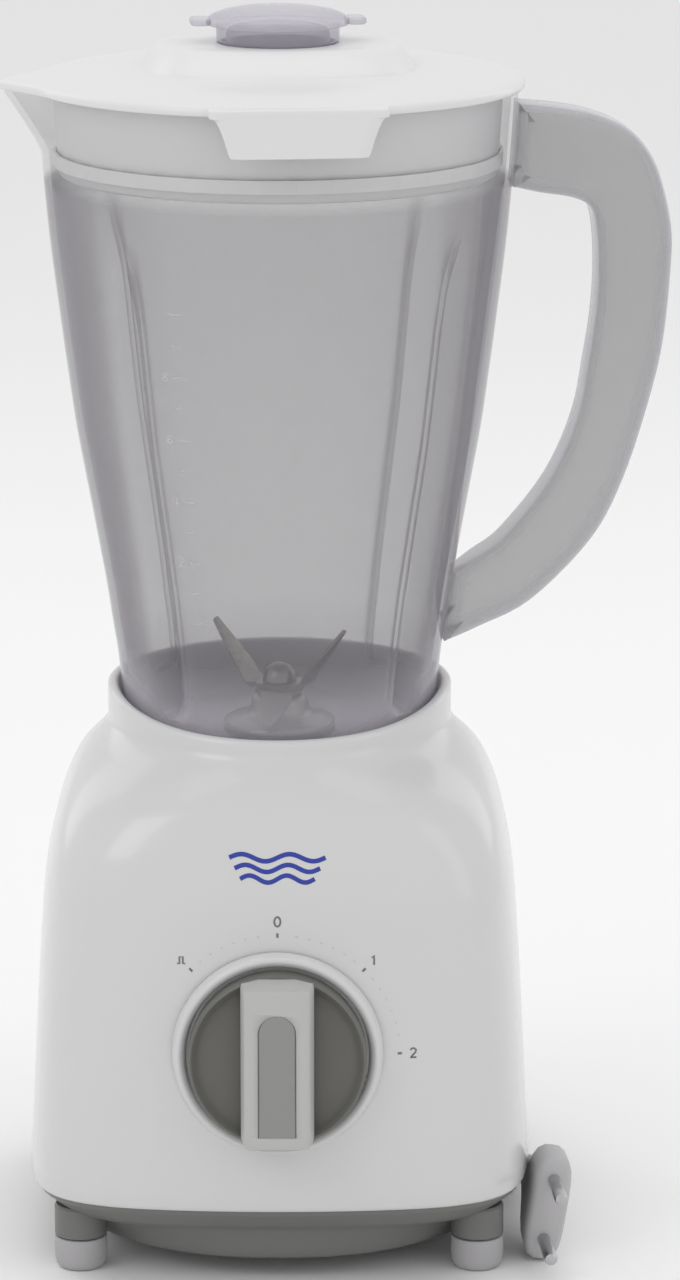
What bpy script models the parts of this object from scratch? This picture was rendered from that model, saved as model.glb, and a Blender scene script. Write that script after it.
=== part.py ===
"""Countertop blender with a clear jug: base with universal motor, knob, jug, blades, lid and cap.

Metres, +Z up, standing on z = 0. Everything is built round the drive axis of the motor, and an
empty then centres the whole blender over the world origin.
"""

import bisect
import math

import bmesh
import bpy
from mathutils import Euler, Matrix, Vector

# Fits
GAP = 0.0003  # between neighbours that touch on the real object
RUNNING = 0.00015  # radial, between a shaft and its bore
JUG_CLEARANCE = 0.0008  # radial, between the jug's foot and its socket

# Motor base
BASE_EDGE_Z = 0.0258  # lower edge of the white housing
BASE_WIDTH = 0.1536  # at the lower edge
BASE_DEPTH = 0.1580
BASE_TAPER = 0.0045  # what each side leans in from the lower edge to the shoulder
SHOULDER_Z = 0.106
NECK_Z = 0.157
NECK_RADIUS = 0.0542
SHOULDER_POWER = 2.15
BASE_SQUARENESS = 7.0
BASE_CROWN = 0.10
BASE_WALL = 0.0025
COLLAR_LOW_Z = 0.1635  # top of the collar at the front
COLLAR_HIGH_Z = 0.1710  # top of the collar at the sides and the back
COLLAR_RADIUS = 0.0524
SOCKET_FLOOR_Z = 0.132
SHAFT_HOLE_RADIUS = 0.009

# Bottom cover, feet and their screws
COVER_Z = 0.0068
COVER_WALL = 0.0022
COVER_ROUNDNESS = 2.6
FOOT_X = BASE_WIDTH * 0.390625
FOOT_Y = BASE_DEPTH * 0.3322785
FOOT_RADIUS = 0.008
FOOT_HEIGHT = 0.0100
FOOT_SEAT_TOP = 0.0235
SCREW_RADIUS = 0.0017
SCREW_HEAD_RADIUS = 0.0036
SCREW_HEAD_HEIGHT = 0.0028
BOSS_RADIUS = 0.0040
BOSS_TOP_Z = 0.056
VENT_LENGTH = 0.034
VENT_WIDTH = 0.003
VENT_PITCH = 0.007
VENT_ROWS = 3  # on each side of the middle one

# Knob and switch
KNOB_Z = 0.0740
KNOB_RADIUS = 0.0265
KNOB_SKIRT = 0.0060
KNOB_GRIP_WIDTH = 0.0195
KNOB_GRIP_HEIGHT = 0.0095
KNOB_INLAY_WIDTH = 0.0112
BEZEL_RADIUS = KNOB_RADIUS + 0.0050
BEZEL_HEIGHT = 0.0025
SPINDLE_RADIUS = 0.003
SPINDLE_LENGTH = 0.016
SWITCH_WIDTH = 0.026
SWITCH_DEPTH = 0.018
SWITCH_HEIGHT = 0.024

# Motor
SHAFT_RADIUS = 0.004
SHAFT_FOOT_Z = 0.0145
STATOR_SIDE = 0.056
STATOR_FOOT_Z = 0.060
STATOR_HEIGHT = 0.028
ARMATURE_RADIUS = 0.0156
AIR_GAP = 0.0007
COIL_HALF_WIDTH = 0.017
COIL_THICKNESS = 0.006
COIL_OVERHANG = 0.0065
COIL_Y = 0.020
BRACKET_THICKNESS = 0.003
BRACKET_HALF_WIDTH = 0.009
UPPER_BRACKET_Z = 0.101
LOWER_BRACKET_Z = 0.038
BRACKET_HUB_RADIUS = 0.011
BUSHING_RADIUS = 0.0069
BUSHING_HEIGHT = 0.007
BOLT_X = 0.0235
BOLT_RADIUS = 0.0016
MOUNT_X = 0.032
MOUNT_POST_RADIUS = 0.005
DAMPER_HEIGHT = 0.004
COMMUTATOR_RADIUS = 0.011
COMMUTATOR_HEIGHT = 0.010
BRUSH_SIDE = 0.005
BRUSH_LENGTH = 0.012
HOLDER_WALL = 0.0012
FAN_RADIUS = 0.028
FAN_HEIGHT = 0.008
FAN_BLADES = 8

# Couplers: a lobed star on the motor shaft in a lobed cup under the jug
COUPLER_RADIUS = 0.013
STAR_RADIUS = 0.0080
STAR_LOBE = 0.0012
STAR_LOBES = 6
STAR_HEIGHT = 0.0058
STAR_CLEARANCE = 0.0005
COUPLER_DISC = 0.0020
SEAL_HEIGHT = 0.0012

# Jug
JUG_TURN = math.radians(5.3)  # how far the seated jug stands turned from the base's front
JUG_WALL = 0.0022
JUG_FOOT_RADIUS = 0.0462
JUG_LINE_Z = 0.163
JUG_LINE_RADIUS = 0.0474
JUG_RIM_Z = 0.3515
JUG_RIM_RADIUS = 0.0718
JUG_FLARE = ((0, 0), (0.133, 0.131), (0.265, 0.291), (0.46, 0.566), (0.66, 0.766), (0.82, 0.906), (1, 1))
JUG_FLOOR_Z = 0.154
JUG_FLOOR_THICKNESS = 0.0025
RIB_ANGLE = math.radians(47.3)  # from the jug's front and back
RIB_HALF_WIDTH = 0.006
RIB_DEPTH = 0.006
RIB_FOOT_Z = 0.168
RIB_POINT_Z = JUG_RIM_Z - 0.0375
RIB_POINT_LENGTH = 0.030
SPOUT_REACH = 0.0102
SPOUT_HALF_ANGLE = math.radians(15)
SPOUT_ROOT_Z = JUG_RIM_Z - 0.0185
HANDLE_WIDTH = 0.022
HANDLE_ROUNDING = 0.005
# Reach from the jug's axis and depth below its rim
HANDLE_OUTER = (
    (0.0840, 0.0065), (0.1075, 0.0155), (0.1150, 0.0275), (0.1182, 0.0465),
    (0.1162, 0.0792), (0.1050, 0.1219), (0.0765, 0.1586),
)
HANDLE_INNER = (
    (0.0680, 0.1397), (0.0825, 0.1215), (0.0935, 0.0848),
    (0.0960, 0.0604), (0.0957, 0.0455), (0.0915, 0.0350),
)
HANDLE_TOP_Z = JUG_RIM_Z - 0.0050
HANDLE_TOP_FOOT_Z = JUG_RIM_Z - 0.0300
HANDLE_LOW_TOP_Z = JUG_RIM_Z - 0.1485
HANDLE_LOW_Z = JUG_RIM_Z - 0.1700

# Blade unit
BLADE_HOLE_RADIUS = 0.012
HOUSING_FLANGE_RADIUS = 0.017
HOUSING_TOP_Z = 0.1655
GASKET_HEIGHT = 0.0015
NUT_HEIGHT = 0.0040
NUT_RADIUS = 0.0175
BLADE_THICKNESS = 0.0015
BLADE_REACH = 0.0215
BLADE_HALF_WIDTH = 0.0050
BLADE_HUB_RADIUS = 0.0065
BLADE_UP_RISE = 0.0180
BLADE_DOWN_DROP = 0.0070
BLADE_STUD_RADIUS = 0.003
BLADE_UP_ANGLE = math.radians(-28)
BLADE_DOWN_ANGLE = math.radians(-105)

# Lid and measuring cap
LID_RADIUS = 0.0736
LID_EDGE = 0.0030
LID_WALL = 0.0022
LID_CROWN = 0.0045
LID_SKIRT_FOOT_Z = JUG_RIM_Z - 0.0255
LID_SKIRT_CLEARANCE = 0.0024
LID_BEAK_REACH = 0.0100
LID_BOSS_TOP_Z = JUG_RIM_Z + 0.0135
LID_BOSS_HALF_WIDTH = 0.0415
LID_BOSS_HALF_DEPTH = 0.0360
LID_BOSS_CORNER = 0.014
TAB_HALF_WIDTH = 0.026
TAB_FOOT_HALF_WIDTH = 0.020
TAB_FOOT_Z = JUG_RIM_Z - 0.0110
TAB_THICKNESS = 0.003
TAB_STAND_OFF = 0.0009
SEAL_FOOT_Z = JUG_RIM_Z - 0.0225
SEAL_BAND = 0.004
CAP_RADIUS = 0.0172
CAP_WALL = 0.0016
CAP_SHOULDER = 0.0012
CAP_DEPTH = 0.015  # below the boss
CAP_DISC_RADIUS = 0.0215
CAP_DISC_Z = LID_BOSS_TOP_Z + 0.0050
CAP_DISC_THICKNESS = 0.0023
CAP_TOP_Z = LID_BOSS_TOP_Z + 0.0107
CAP_EAR_REACH = 0.0264
CAP_EAR_HALF_WIDTH = 0.006

# Cord and plug
CORD_RADIUS = 0.00325
GLAND_X = 0.030
GLAND_Z = 0.034
GLAND_LENGTH = 0.030
GLAND_RADIUS = 0.0060
COIL_CENTRE = (-0.012, BASE_DEPTH / 2 + 0.079)
COIL_MIDDLE_RADIUS = 0.036
PLUG_FRONT = (BASE_WIDTH / 2 + 0.0049, -0.0510, 0.0169)  # middle of the plug's face
PLUG_ROLL = math.radians(9)  # its upper pin leans out
PLUG_YAW = math.radians(5)  # its pins point a little outwards
PLUG_LENGTH = 0.034
PLUG_THICKNESS = 0.0116
PLUG_WIDTH = 0.0330
PIN_SPACING = 0.019
PIN_RADIUS = 0.002
PIN_LENGTH = 0.019

ROUND = 32
SMALL = 16
BASE_SIDES = 48
JUG_SIDES = 40

WHITE = ("white_plastic", (0.80, 0.80, 0.79, 1), 0.28, 0)
DARK_GREY = ("dark_grey_plastic", (0.13, 0.13, 0.12, 1), 0.45, 0)
LIGHT_GREY = ("light_grey_plastic", (0.38, 0.38, 0.37, 1), 0.45, 0)
MID_GREY = ("mid_grey_plastic", (0.24, 0.24, 0.23, 1), 0.5, 0)
CLEAR = ("smoky_clear_plastic", (0.45, 0.43, 0.46, 0.4), 0.1, 0)
RUBBER = ("grey_rubber", (0.42, 0.41, 0.42, 1), 0.8, 0)
STEEL = ("stainless_steel", (0.55, 0.55, 0.56, 1), 0.3, 1)
LAMINATION = ("lamination_steel", (0.30, 0.30, 0.31, 1), 0.5, 1)
COPPER = ("copper_winding", (0.60, 0.28, 0.13, 1), 0.4, 1)
BRASS = ("brass", (0.72, 0.55, 0.25, 1), 0.35, 1)
CARBON = ("carbon", (0.03, 0.03, 0.03, 1), 0.7, 0)
BLACK = ("black_plastic", (0.03, 0.03, 0.03, 1), 0.5, 0)
CORD_GREY = ("cord_grey", (0.52, 0.51, 0.52, 1), 0.6, 0)


def clear_scene():
    for thing in list(bpy.data.objects):
        bpy.data.objects.remove(thing)


def collection(name, hidden=False):
    made = bpy.data.collections.new(name)
    bpy.context.scene.collection.children.link(made)
    made.hide_render = hidden
    return made


def material(finish):
    name, colour, roughness, metallic = finish
    if name not in bpy.data.materials:
        made = bpy.data.materials.new(name)
        made.use_nodes = True
        shader = made.node_tree.nodes["Principled BSDF"]
        shader.inputs["Base Color"].default_value = colour
        shader.inputs["Alpha"].default_value = colour[3]
        shader.inputs["Roughness"].default_value = roughness
        shader.inputs["Metallic"].default_value = metallic
        made.diffuse_color = colour
    return bpy.data.materials[name]


def frame(name, parent=None, location=(0, 0, 0), rotation=(0, 0, 0)):
    """An empty that carries other objects."""
    empty = bpy.data.objects.new(name, None)
    PARTS.objects.link(empty)
    empty.parent = parent
    empty.location = location
    empty.rotation_euler = rotation
    return empty


def add(name, mesh, finish, parent, location=(0, 0, 0), rotation=(0, 0, 0)):
    """A part made of mesh, or a cutter where finish is None."""
    made = bpy.data.objects.new(name, mesh)
    if finish is None:
        CUTTERS.objects.link(made)
        made.hide_render = True
        made.display_type = "WIRE"
    else:
        PARTS.objects.link(made)
        mesh.materials.append(material(finish))
        mesh.shade_smooth()
        mesh.set_sharp_from_angle(angle=math.radians(35))
    made.parent = parent
    made.location = location
    made.rotation_euler = rotation
    return made


def boolean(target, tool, operation):
    cut = target.modifiers.new(f"{operation.lower()}_{tool.name}", "BOOLEAN")
    cut.operation = operation
    cut.object = tool


def mesh_from(name, build):
    """A mesh of what build(bm) makes, with its faces turned outwards."""
    bm = bmesh.new()
    build(bm)
    bmesh.ops.recalc_face_normals(bm, faces=bm.faces)
    mesh = bpy.data.meshes.new(name)
    bm.to_mesh(mesh)
    bm.free()
    return mesh


def box_mesh(name, low, high):
    low = Vector(low)
    high = Vector(high)

    def build(bm):
        place = Matrix.Translation((low + high) / 2) @ Matrix.Diagonal((*(high - low), 1))
        bmesh.ops.create_cube(bm, size=1, matrix=place)

    return mesh_from(name, build)


def cylinder_mesh(name, radius, low, high, sides=SMALL, centre=(0, 0)):
    def build(bm):
        place = Matrix.Translation((*centre, (low + high) / 2))
        bmesh.ops.create_cone(
            bm, cap_ends=True, segments=sides, radius1=radius, radius2=radius, depth=high - low, matrix=place
        )

    return mesh_from(name, build)


def turned(name, profile, finish, parent, location=(0, 0, 0), rotation=(0, 0, 0), closed=False, steps=SMALL):
    """A profile of (radius, height) pairs, run down its outer side, turned round the local Z axis."""
    mesh = bpy.data.meshes.new(name)
    edges = [(i, i + 1) for i in range(len(profile) - 1)]
    if closed:
        edges.append((len(profile) - 1, 0))
    mesh.from_pydata([(radius, 0, height) for radius, height in profile], edges, [])
    made = add(name, mesh, finish, parent, location, rotation)
    screw = made.modifiers.new("turn", "SCREW")
    screw.steps = steps
    screw.render_steps = steps
    screw.use_merge_vertices = True
    screw.merge_threshold = 0.00001
    screw.use_smooth_shade = True
    return made


def ring(name, inner, outer, low, high, finish, parent, steps=SMALL, location=(0, 0, 0)):
    profile = [(outer, high), (outer, low), (inner, low), (inner, high)]
    return turned(name, profile, finish, parent, location, closed=True, steps=steps)


def mesh_of_curve(curve_object):
    """Replaces a curve object by a mesh of it with welded caps, and gives that mesh."""
    bpy.context.view_layer.update()
    graph = bpy.context.evaluated_depsgraph_get()
    mesh = bpy.data.meshes.new_from_object(curve_object.evaluated_get(graph))
    bm = bmesh.new()
    bm.from_mesh(mesh)
    bmesh.ops.remove_doubles(bm, verts=bm.verts, dist=0.00001)
    bmesh.ops.recalc_face_normals(bm, faces=bm.faces)
    bm.to_mesh(mesh)
    bm.free()
    mesh.materials.clear()
    curve = curve_object.data
    bpy.data.objects.remove(curve_object)
    bpy.data.curves.remove(curve)
    return mesh


def plate_mesh(name, outlines, thickness, rounding=0.0, resolution=1):
    """Flat closed outlines of (x, y) pairs, thickened evenly either side of z = 0."""
    curve = bpy.data.curves.new(name, "CURVE")
    curve.dimensions = "2D"
    curve.fill_mode = "BOTH"
    curve.extrude = thickness / 2 - rounding
    curve.bevel_depth = rounding
    curve.bevel_resolution = resolution
    curve.offset = -rounding
    for outline in outlines:
        spline = curve.splines.new("POLY")
        spline.points.add(len(outline) - 1)
        spline.use_cyclic_u = True
        for point, (x, y) in zip(spline.points, outline):
            point.co = (x, y, 0, 1)
    made = bpy.data.objects.new(name, curve)
    PARTS.objects.link(made)
    return mesh_of_curve(made)


def tube(name, points, radius, finish, parent):
    curve = bpy.data.curves.new(name, "CURVE")
    curve.dimensions = "3D"
    curve.bevel_depth = radius
    curve.bevel_resolution = 2
    curve.use_fill_caps = True
    spline = curve.splines.new("POLY")
    spline.points.add(len(points) - 1)
    for point, place in zip(spline.points, points):
        point.co = (*place, 1)
    made = bpy.data.objects.new(name, curve)
    PARTS.objects.link(made)
    curve.materials.append(material(finish))
    made.parent = parent
    return made


def loft_mesh(name, rings, closed=False):
    """Skins rings of equal length. A closed loft runs back into its first ring; an open one is capped."""

    def build(bm):
        rows = [[bm.verts.new(place) for place in row] for row in rings]
        pairs = list(zip(rows, rows[1:]))
        if closed:
            pairs.append((rows[-1], rows[0]))
        for lower, upper in pairs:
            for i, corner in enumerate(lower):
                after = (i + 1) % len(lower)
                bm.faces.new((corner, lower[after], upper[after], upper[i]))
        if not closed:
            bm.faces.new(rows[0])
            bm.faces.new(rows[-1])

    return mesh_from(name, build)


def smooth(points, steps):
    """A Catmull-Rom curve through the points."""
    ends = [2 * Vector(points[0]) - Vector(points[1]), 2 * Vector(points[-1]) - Vector(points[-2])]
    chain = [ends[0], *map(Vector, points), ends[1]]
    made = []
    for a, b, c, d in zip(chain, chain[1:], chain[2:], chain[3:]):
        for step in range(steps):
            t = step / steps
            made.append(
                0.5 * (2 * b + (c - a) * t
                + (2 * a - 5 * b + 4 * c - d) * t**2 + (3 * b - a - 3 * c + d) * t**3)
            )
    made.append(chain[-2])
    return made


def resample(points, spacing):
    """The same line with evenly spaced points."""
    lengths = [0.0]
    for a, b in zip(points, points[1:]):
        lengths.append(lengths[-1] + (b - a).length)
    count = max(2, round(lengths[-1] / spacing))
    made = []
    for step in range(count + 1):
        want = lengths[-1] * step / count
        i = min(max(bisect.bisect_left(lengths, want), 1), len(points) - 1)
        share = (want - lengths[i - 1]) / (lengths[i] - lengths[i - 1])
        made.append(points[i - 1].lerp(points[i], share))
    return made


def arc(centre, radius, start, end, steps):
    """Points of a flat arc, both ends included, with angles in degrees."""
    angles = [math.radians(start + (end - start) * i / steps) for i in range(steps + 1)]
    return [(centre[0] + radius * math.cos(a), centre[1] + radius * math.sin(a)) for a in angles]


def rounded_box(half_x, half_y, corner, steps=4):
    """A flat outline with round corners."""
    x = half_x - corner
    y = half_y - corner
    return [
        *arc((x, y), corner, 0, 90, steps),
        *arc((-x, y), corner, 90, 180, steps),
        *arc((-x, -y), corner, 180, 270, steps),
        *arc((x, -y), corner, 270, 360, steps),
    ]


# Motor base


def shoulder_share(z):
    """How much of the way from neck to full width the base has at a height."""
    climb = min(max((z - SHOULDER_Z) / (NECK_Z - SHOULDER_Z), 0), 1)
    return 1 - climb**SHOULDER_POWER


def base_half(z, full):
    """Half width or half depth of the base at a height, from its full size at the lower edge."""
    lean = BASE_TAPER * min((z - BASE_EDGE_Z) / (SHOULDER_Z - BASE_EDGE_Z), 1)
    share = shoulder_share(z)
    return NECK_RADIUS + (full / 2 - lean - NECK_RADIUS) * share


def squircle(half_x, half_y, power, crown, z):
    """A ring between a circle and a rounded square, each side bowed a little."""
    places = []
    for i in range(BASE_SIDES):
        angle = 2 * math.pi * i / BASE_SIDES
        c = math.cos(angle)
        s = math.sin(angle)
        reach = (abs(c / half_x) ** power + abs(s / half_y) ** power) ** (-1 / power)
        x = reach * c
        y = reach * s
        places.append((x * (1 - crown / 2 * (y / half_y) ** 2), y * (1 - crown * (x / half_x) ** 2), z))
    return places


def base_ring(z, inset=0.0):
    share = shoulder_share(z)
    power = 2 + (BASE_SQUARENESS - 2) * share**1.5
    half_x = base_half(z, BASE_WIDTH) - inset
    half_y = base_half(z, BASE_DEPTH) - inset
    return squircle(half_x, half_y, power, BASE_CROWN * share, z)


def circle_ring(radius, z):
    return squircle(radius, radius, 2, 0, z)


def collar_ring(radius, drop):
    """A ring along the top of the collar, which dips at the front."""
    places = []
    for x, y, _ in circle_ring(radius, 0):
        dip = min(1 + y / radius, 1)
        places.append((x, y, COLLAR_LOW_Z + (COLLAR_HIGH_Z - COLLAR_LOW_Z) * dip - drop))
    return places


def socket_radius(z):
    return jug_radius(z) + JUG_CLEARANCE


def housing_rings():
    rise = SHOULDER_Z - BASE_EDGE_Z
    sides = [BASE_EDGE_Z, BASE_EDGE_Z + rise / 3, BASE_EDGE_Z + 2 * rise / 3, SHOULDER_Z]
    climb = NECK_Z - SHOULDER_Z
    sides += [SHOULDER_Z + climb * share for share in (0.22, 0.40, 0.56, 0.70, 0.82, 0.92, 1)]
    outer = [base_ring(z) for z in sides]
    outer.append(circle_ring(COLLAR_RADIUS, NECK_Z + 0.003))
    outer += [collar_ring(COLLAR_RADIUS, 0.002), collar_ring(COLLAR_RADIUS - 0.0008, 0)]
    lip = socket_radius(COLLAR_HIGH_Z)
    socket = [
        collar_ring(lip + 0.0004, 0),
        circle_ring(lip, COLLAR_LOW_Z - 0.002),
        circle_ring(socket_radius(JUG_LINE_Z - 0.010), JUG_LINE_Z - 0.010),
        circle_ring(socket_radius(SOCKET_FLOOR_Z), SOCKET_FLOOR_Z),
        circle_ring(SHAFT_HOLE_RADIUS, SOCKET_FLOOR_Z),
        circle_ring(SHAFT_HOLE_RADIUS, SOCKET_FLOOR_Z - BASE_WALL),
    ]
    well_radius = socket_radius(JUG_LINE_Z) + BASE_WALL
    well = [
        circle_ring(well_radius, SOCKET_FLOOR_Z - BASE_WALL),
        circle_ring(well_radius, SHOULDER_Z + climb * 0.90),
    ]
    inner = [base_ring(z, BASE_WALL * (1.0 + 1.1 * (1 - shoulder_share(z)))) for z in reversed(sides[:9])]
    return outer + socket + well + inner


def housing(parent):
    made = add("base_housing", loft_mesh("base_housing", housing_rings(), closed=True), WHITE, parent)
    panel = panel_y()
    dish_radius = KNOB_RADIUS + 0.0008
    bezel = [
        (dish_radius + 0.0014, BEZEL_HEIGHT), (BEZEL_RADIUS, -0.0012), (dish_radius - 0.0012, -0.0012),
        (dish_radius - 0.0012, BEZEL_HEIGHT),
    ]
    bezel_tool = turned(
        "bezel_form", bezel, None, parent, (0, panel, KNOB_Z), (math.pi / 2, 0, 0), closed=True, steps=ROUND
    )
    boolean(made, bezel_tool, "UNION")
    dish = cylinder_mesh("bezel_dish", dish_radius, 0.0004, BEZEL_HEIGHT + 0.002, ROUND)
    dish_turn = (math.pi / 2, math.pi / ROUND, 0)
    boolean(made, add("bezel_dish", dish, None, parent, (0, panel, KNOB_Z), dish_turn), "DIFFERENCE")
    hole = cylinder_mesh("spindle_hole", SPINDLE_RADIUS + 2 * GAP, -0.010, 0.010)
    boolean(
        made, add("spindle_hole", hole, None, parent, (0, panel, KNOB_Z), (math.pi / 2, 0, 0)), "DIFFERENCE"
    )
    gland = cylinder_mesh("gland_hole", GLAND_RADIUS + GAP, -0.010, 0.010)
    boolean(
        made, add("gland_hole", gland, None, parent, (GLAND_X, rear_y(GLAND_X), GLAND_Z), (math.pi / 2, 0, 0)),
        "DIFFERENCE",
    )
    for side in (-1, 1):
        post_low = UPPER_BRACKET_Z + BRACKET_THICKNESS + DAMPER_HEIGHT + 2 * GAP
        post_high = SOCKET_FLOOR_Z - BASE_WALL / 2
        post = cylinder_mesh(f"motor_post_{side}", MOUNT_POST_RADIUS, post_low, post_high)
        boolean(made, add(f"motor_post_{side}", post, None, parent, (side * MOUNT_X, 0, 0)), "UNION")
        bore = cylinder_mesh(f"post_bore_{side}", SCREW_RADIUS + GAP, post_low - 0.001, post_low + 0.012, 12)
        boolean(made, add(f"post_bore_{side}", bore, None, parent, (side * MOUNT_X, 0, 0)), "DIFFERENCE")
    for name, x, y in corners():
        boss_low = FOOT_SEAT_TOP + GAP
        rib_low = BASE_EDGE_Z + 0.004
        wall_x = side_x(BOSS_TOP_Z, y) - 0.6 * BASE_WALL
        boss = cylinder_mesh(f"boss_{name}", BOSS_RADIUS, boss_low, BOSS_TOP_Z)
        boolean(made, add(f"boss_{name}", boss, None, parent, (x, y, 0)), "UNION")
        side = math.copysign(1, x)
        edges = sorted((side * (FOOT_X + BOSS_RADIUS / 2), side * wall_x))
        rib = box_mesh(
            f"boss_rib_{name}", (edges[0], y - 0.0015, rib_low), (edges[1], y + 0.0015, BOSS_TOP_Z - 0.003)
        )
        boolean(made, add(f"boss_rib_{name}", rib, None, parent), "UNION")
        bore = cylinder_mesh(
            f"boss_bore_{name}", SCREW_RADIUS + GAP, boss_low - 0.001, BOSS_TOP_Z - 0.004, 12
        )
        boolean(made, add(f"boss_bore_{name}", bore, None, parent, (x, y, 0)), "DIFFERENCE")
    return made


def panel_y():
    """The front face of the base at the knob's height."""
    return -base_half(KNOB_Z, BASE_DEPTH)


def side_x(z, y):
    """The side face of the base at a height and a depth."""
    share = abs(y) / base_half(z, BASE_DEPTH)
    round_off = (1 - share**BASE_SQUARENESS) ** (1 / BASE_SQUARENESS)
    return base_half(z, BASE_WIDTH) * round_off * (1 - BASE_CROWN / 2 * share**2)


def rear_y(x):
    """The rear face of the base at the gland."""
    half_x = base_half(GLAND_Z, BASE_WIDTH)
    return base_half(GLAND_Z, BASE_DEPTH) * (1 - BASE_CROWN * (x / half_x) ** 2)


def corners():
    for along, y in (("front", -FOOT_Y), ("rear", FOOT_Y)):
        for across, x in (("left", -FOOT_X), ("right", FOOT_X)):
            yield f"{along}_{across}", x, y


def cover_ring(z, inset, power):
    half_x = BASE_WIDTH / 2 - inset
    half_y = BASE_DEPTH / 2 - inset
    return squircle(half_x, half_y, power, BASE_CROWN, z)


def bottom_cover(parent):
    stations = (
        (COVER_Z, 0.0125, COVER_ROUNDNESS),
        (COVER_Z + 0.0012, 0.0113, COVER_ROUNDNESS),
        (0.0125, 0.0104, COVER_ROUNDNESS + 0.3),
        (0.0165, 0.0094, 4.0),
        (0.0180, 0.0083, 6.0),
        (BASE_EDGE_Z - 0.0020, 0.0020, BASE_SQUARENESS),
        (BASE_EDGE_Z - GAP, 0.0013, BASE_SQUARENESS),
    )
    outer = [cover_ring(*station) for station in stations]
    rim = BASE_EDGE_Z - GAP
    inner = [cover_ring(min(z + COVER_WALL, rim), inset + COVER_WALL, power) for z, inset, power in stations]
    rings = outer + list(reversed(inner[:-1]))
    made = add("bottom_cover", loft_mesh("bottom_cover", rings), DARK_GREY, parent)
    for name, x, y in corners():
        seat = cylinder_mesh(f"foot_seat_{name}", FOOT_RADIUS, FOOT_HEIGHT + GAP, FOOT_SEAT_TOP)
        boolean(made, add(f"foot_seat_{name}", seat, None, parent, (x, y, 0)), "UNION")
        bore = cylinder_mesh(f"seat_bore_{name}", SCREW_RADIUS + GAP, 0, 0.03, 12)
        boolean(made, add(f"seat_bore_{name}", bore, None, parent, (x, y, 0)), "DIFFERENCE")
    for row in range(-VENT_ROWS, VENT_ROWS + 1):
        y = row * VENT_PITCH
        low = (-VENT_LENGTH / 2, y - VENT_WIDTH / 2, 0)
        high = (VENT_LENGTH / 2, y + VENT_WIDTH / 2, COVER_Z + 2 * COVER_WALL)
        vent = box_mesh(f"vent_{row}", low, high)
        boolean(made, add(f"vent_{row}", vent, None, parent), "DIFFERENCE")


def foot(name, x, y, parent):
    """A rubber foot clamped by the screw that stands inside it."""
    web = FOOT_HEIGHT - 0.0036
    profile = [
        (FOOT_RADIUS - 0.0004, FOOT_HEIGHT),
        (FOOT_RADIUS, FOOT_HEIGHT - 0.0006),
        (FOOT_RADIUS, 0.0030),
        (FOOT_RADIUS - 0.0008, 0.0009),
        (FOOT_RADIUS - 0.0020, 0),
        (SCREW_HEAD_RADIUS + 0.0008, 0),
        (SCREW_HEAD_RADIUS + 0.0006, web),
        (SCREW_RADIUS + GAP, web),
        (SCREW_RADIUS + GAP, FOOT_HEIGHT),
    ]
    turned(f"foot_{name}", profile, RUBBER, parent, (x, y, 0), closed=True, steps=20)
    head_top = web - GAP
    tip = BOSS_TOP_Z - 0.006
    screw = [
        (0, tip),
        (SCREW_RADIUS * 0.6, tip - 0.001),
        (SCREW_RADIUS, tip - 0.003),
        (SCREW_RADIUS, head_top),
        (SCREW_HEAD_RADIUS, head_top),
        (SCREW_HEAD_RADIUS, head_top - SCREW_HEAD_HEIGHT / 2),
        (SCREW_HEAD_RADIUS * 0.6, head_top - SCREW_HEAD_HEIGHT),
        (0, head_top - SCREW_HEAD_HEIGHT),
    ]
    turned(f"cover_screw_{name}", screw, STEEL, parent, (x, y, 0), steps=12)


# Knob and switch


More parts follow.
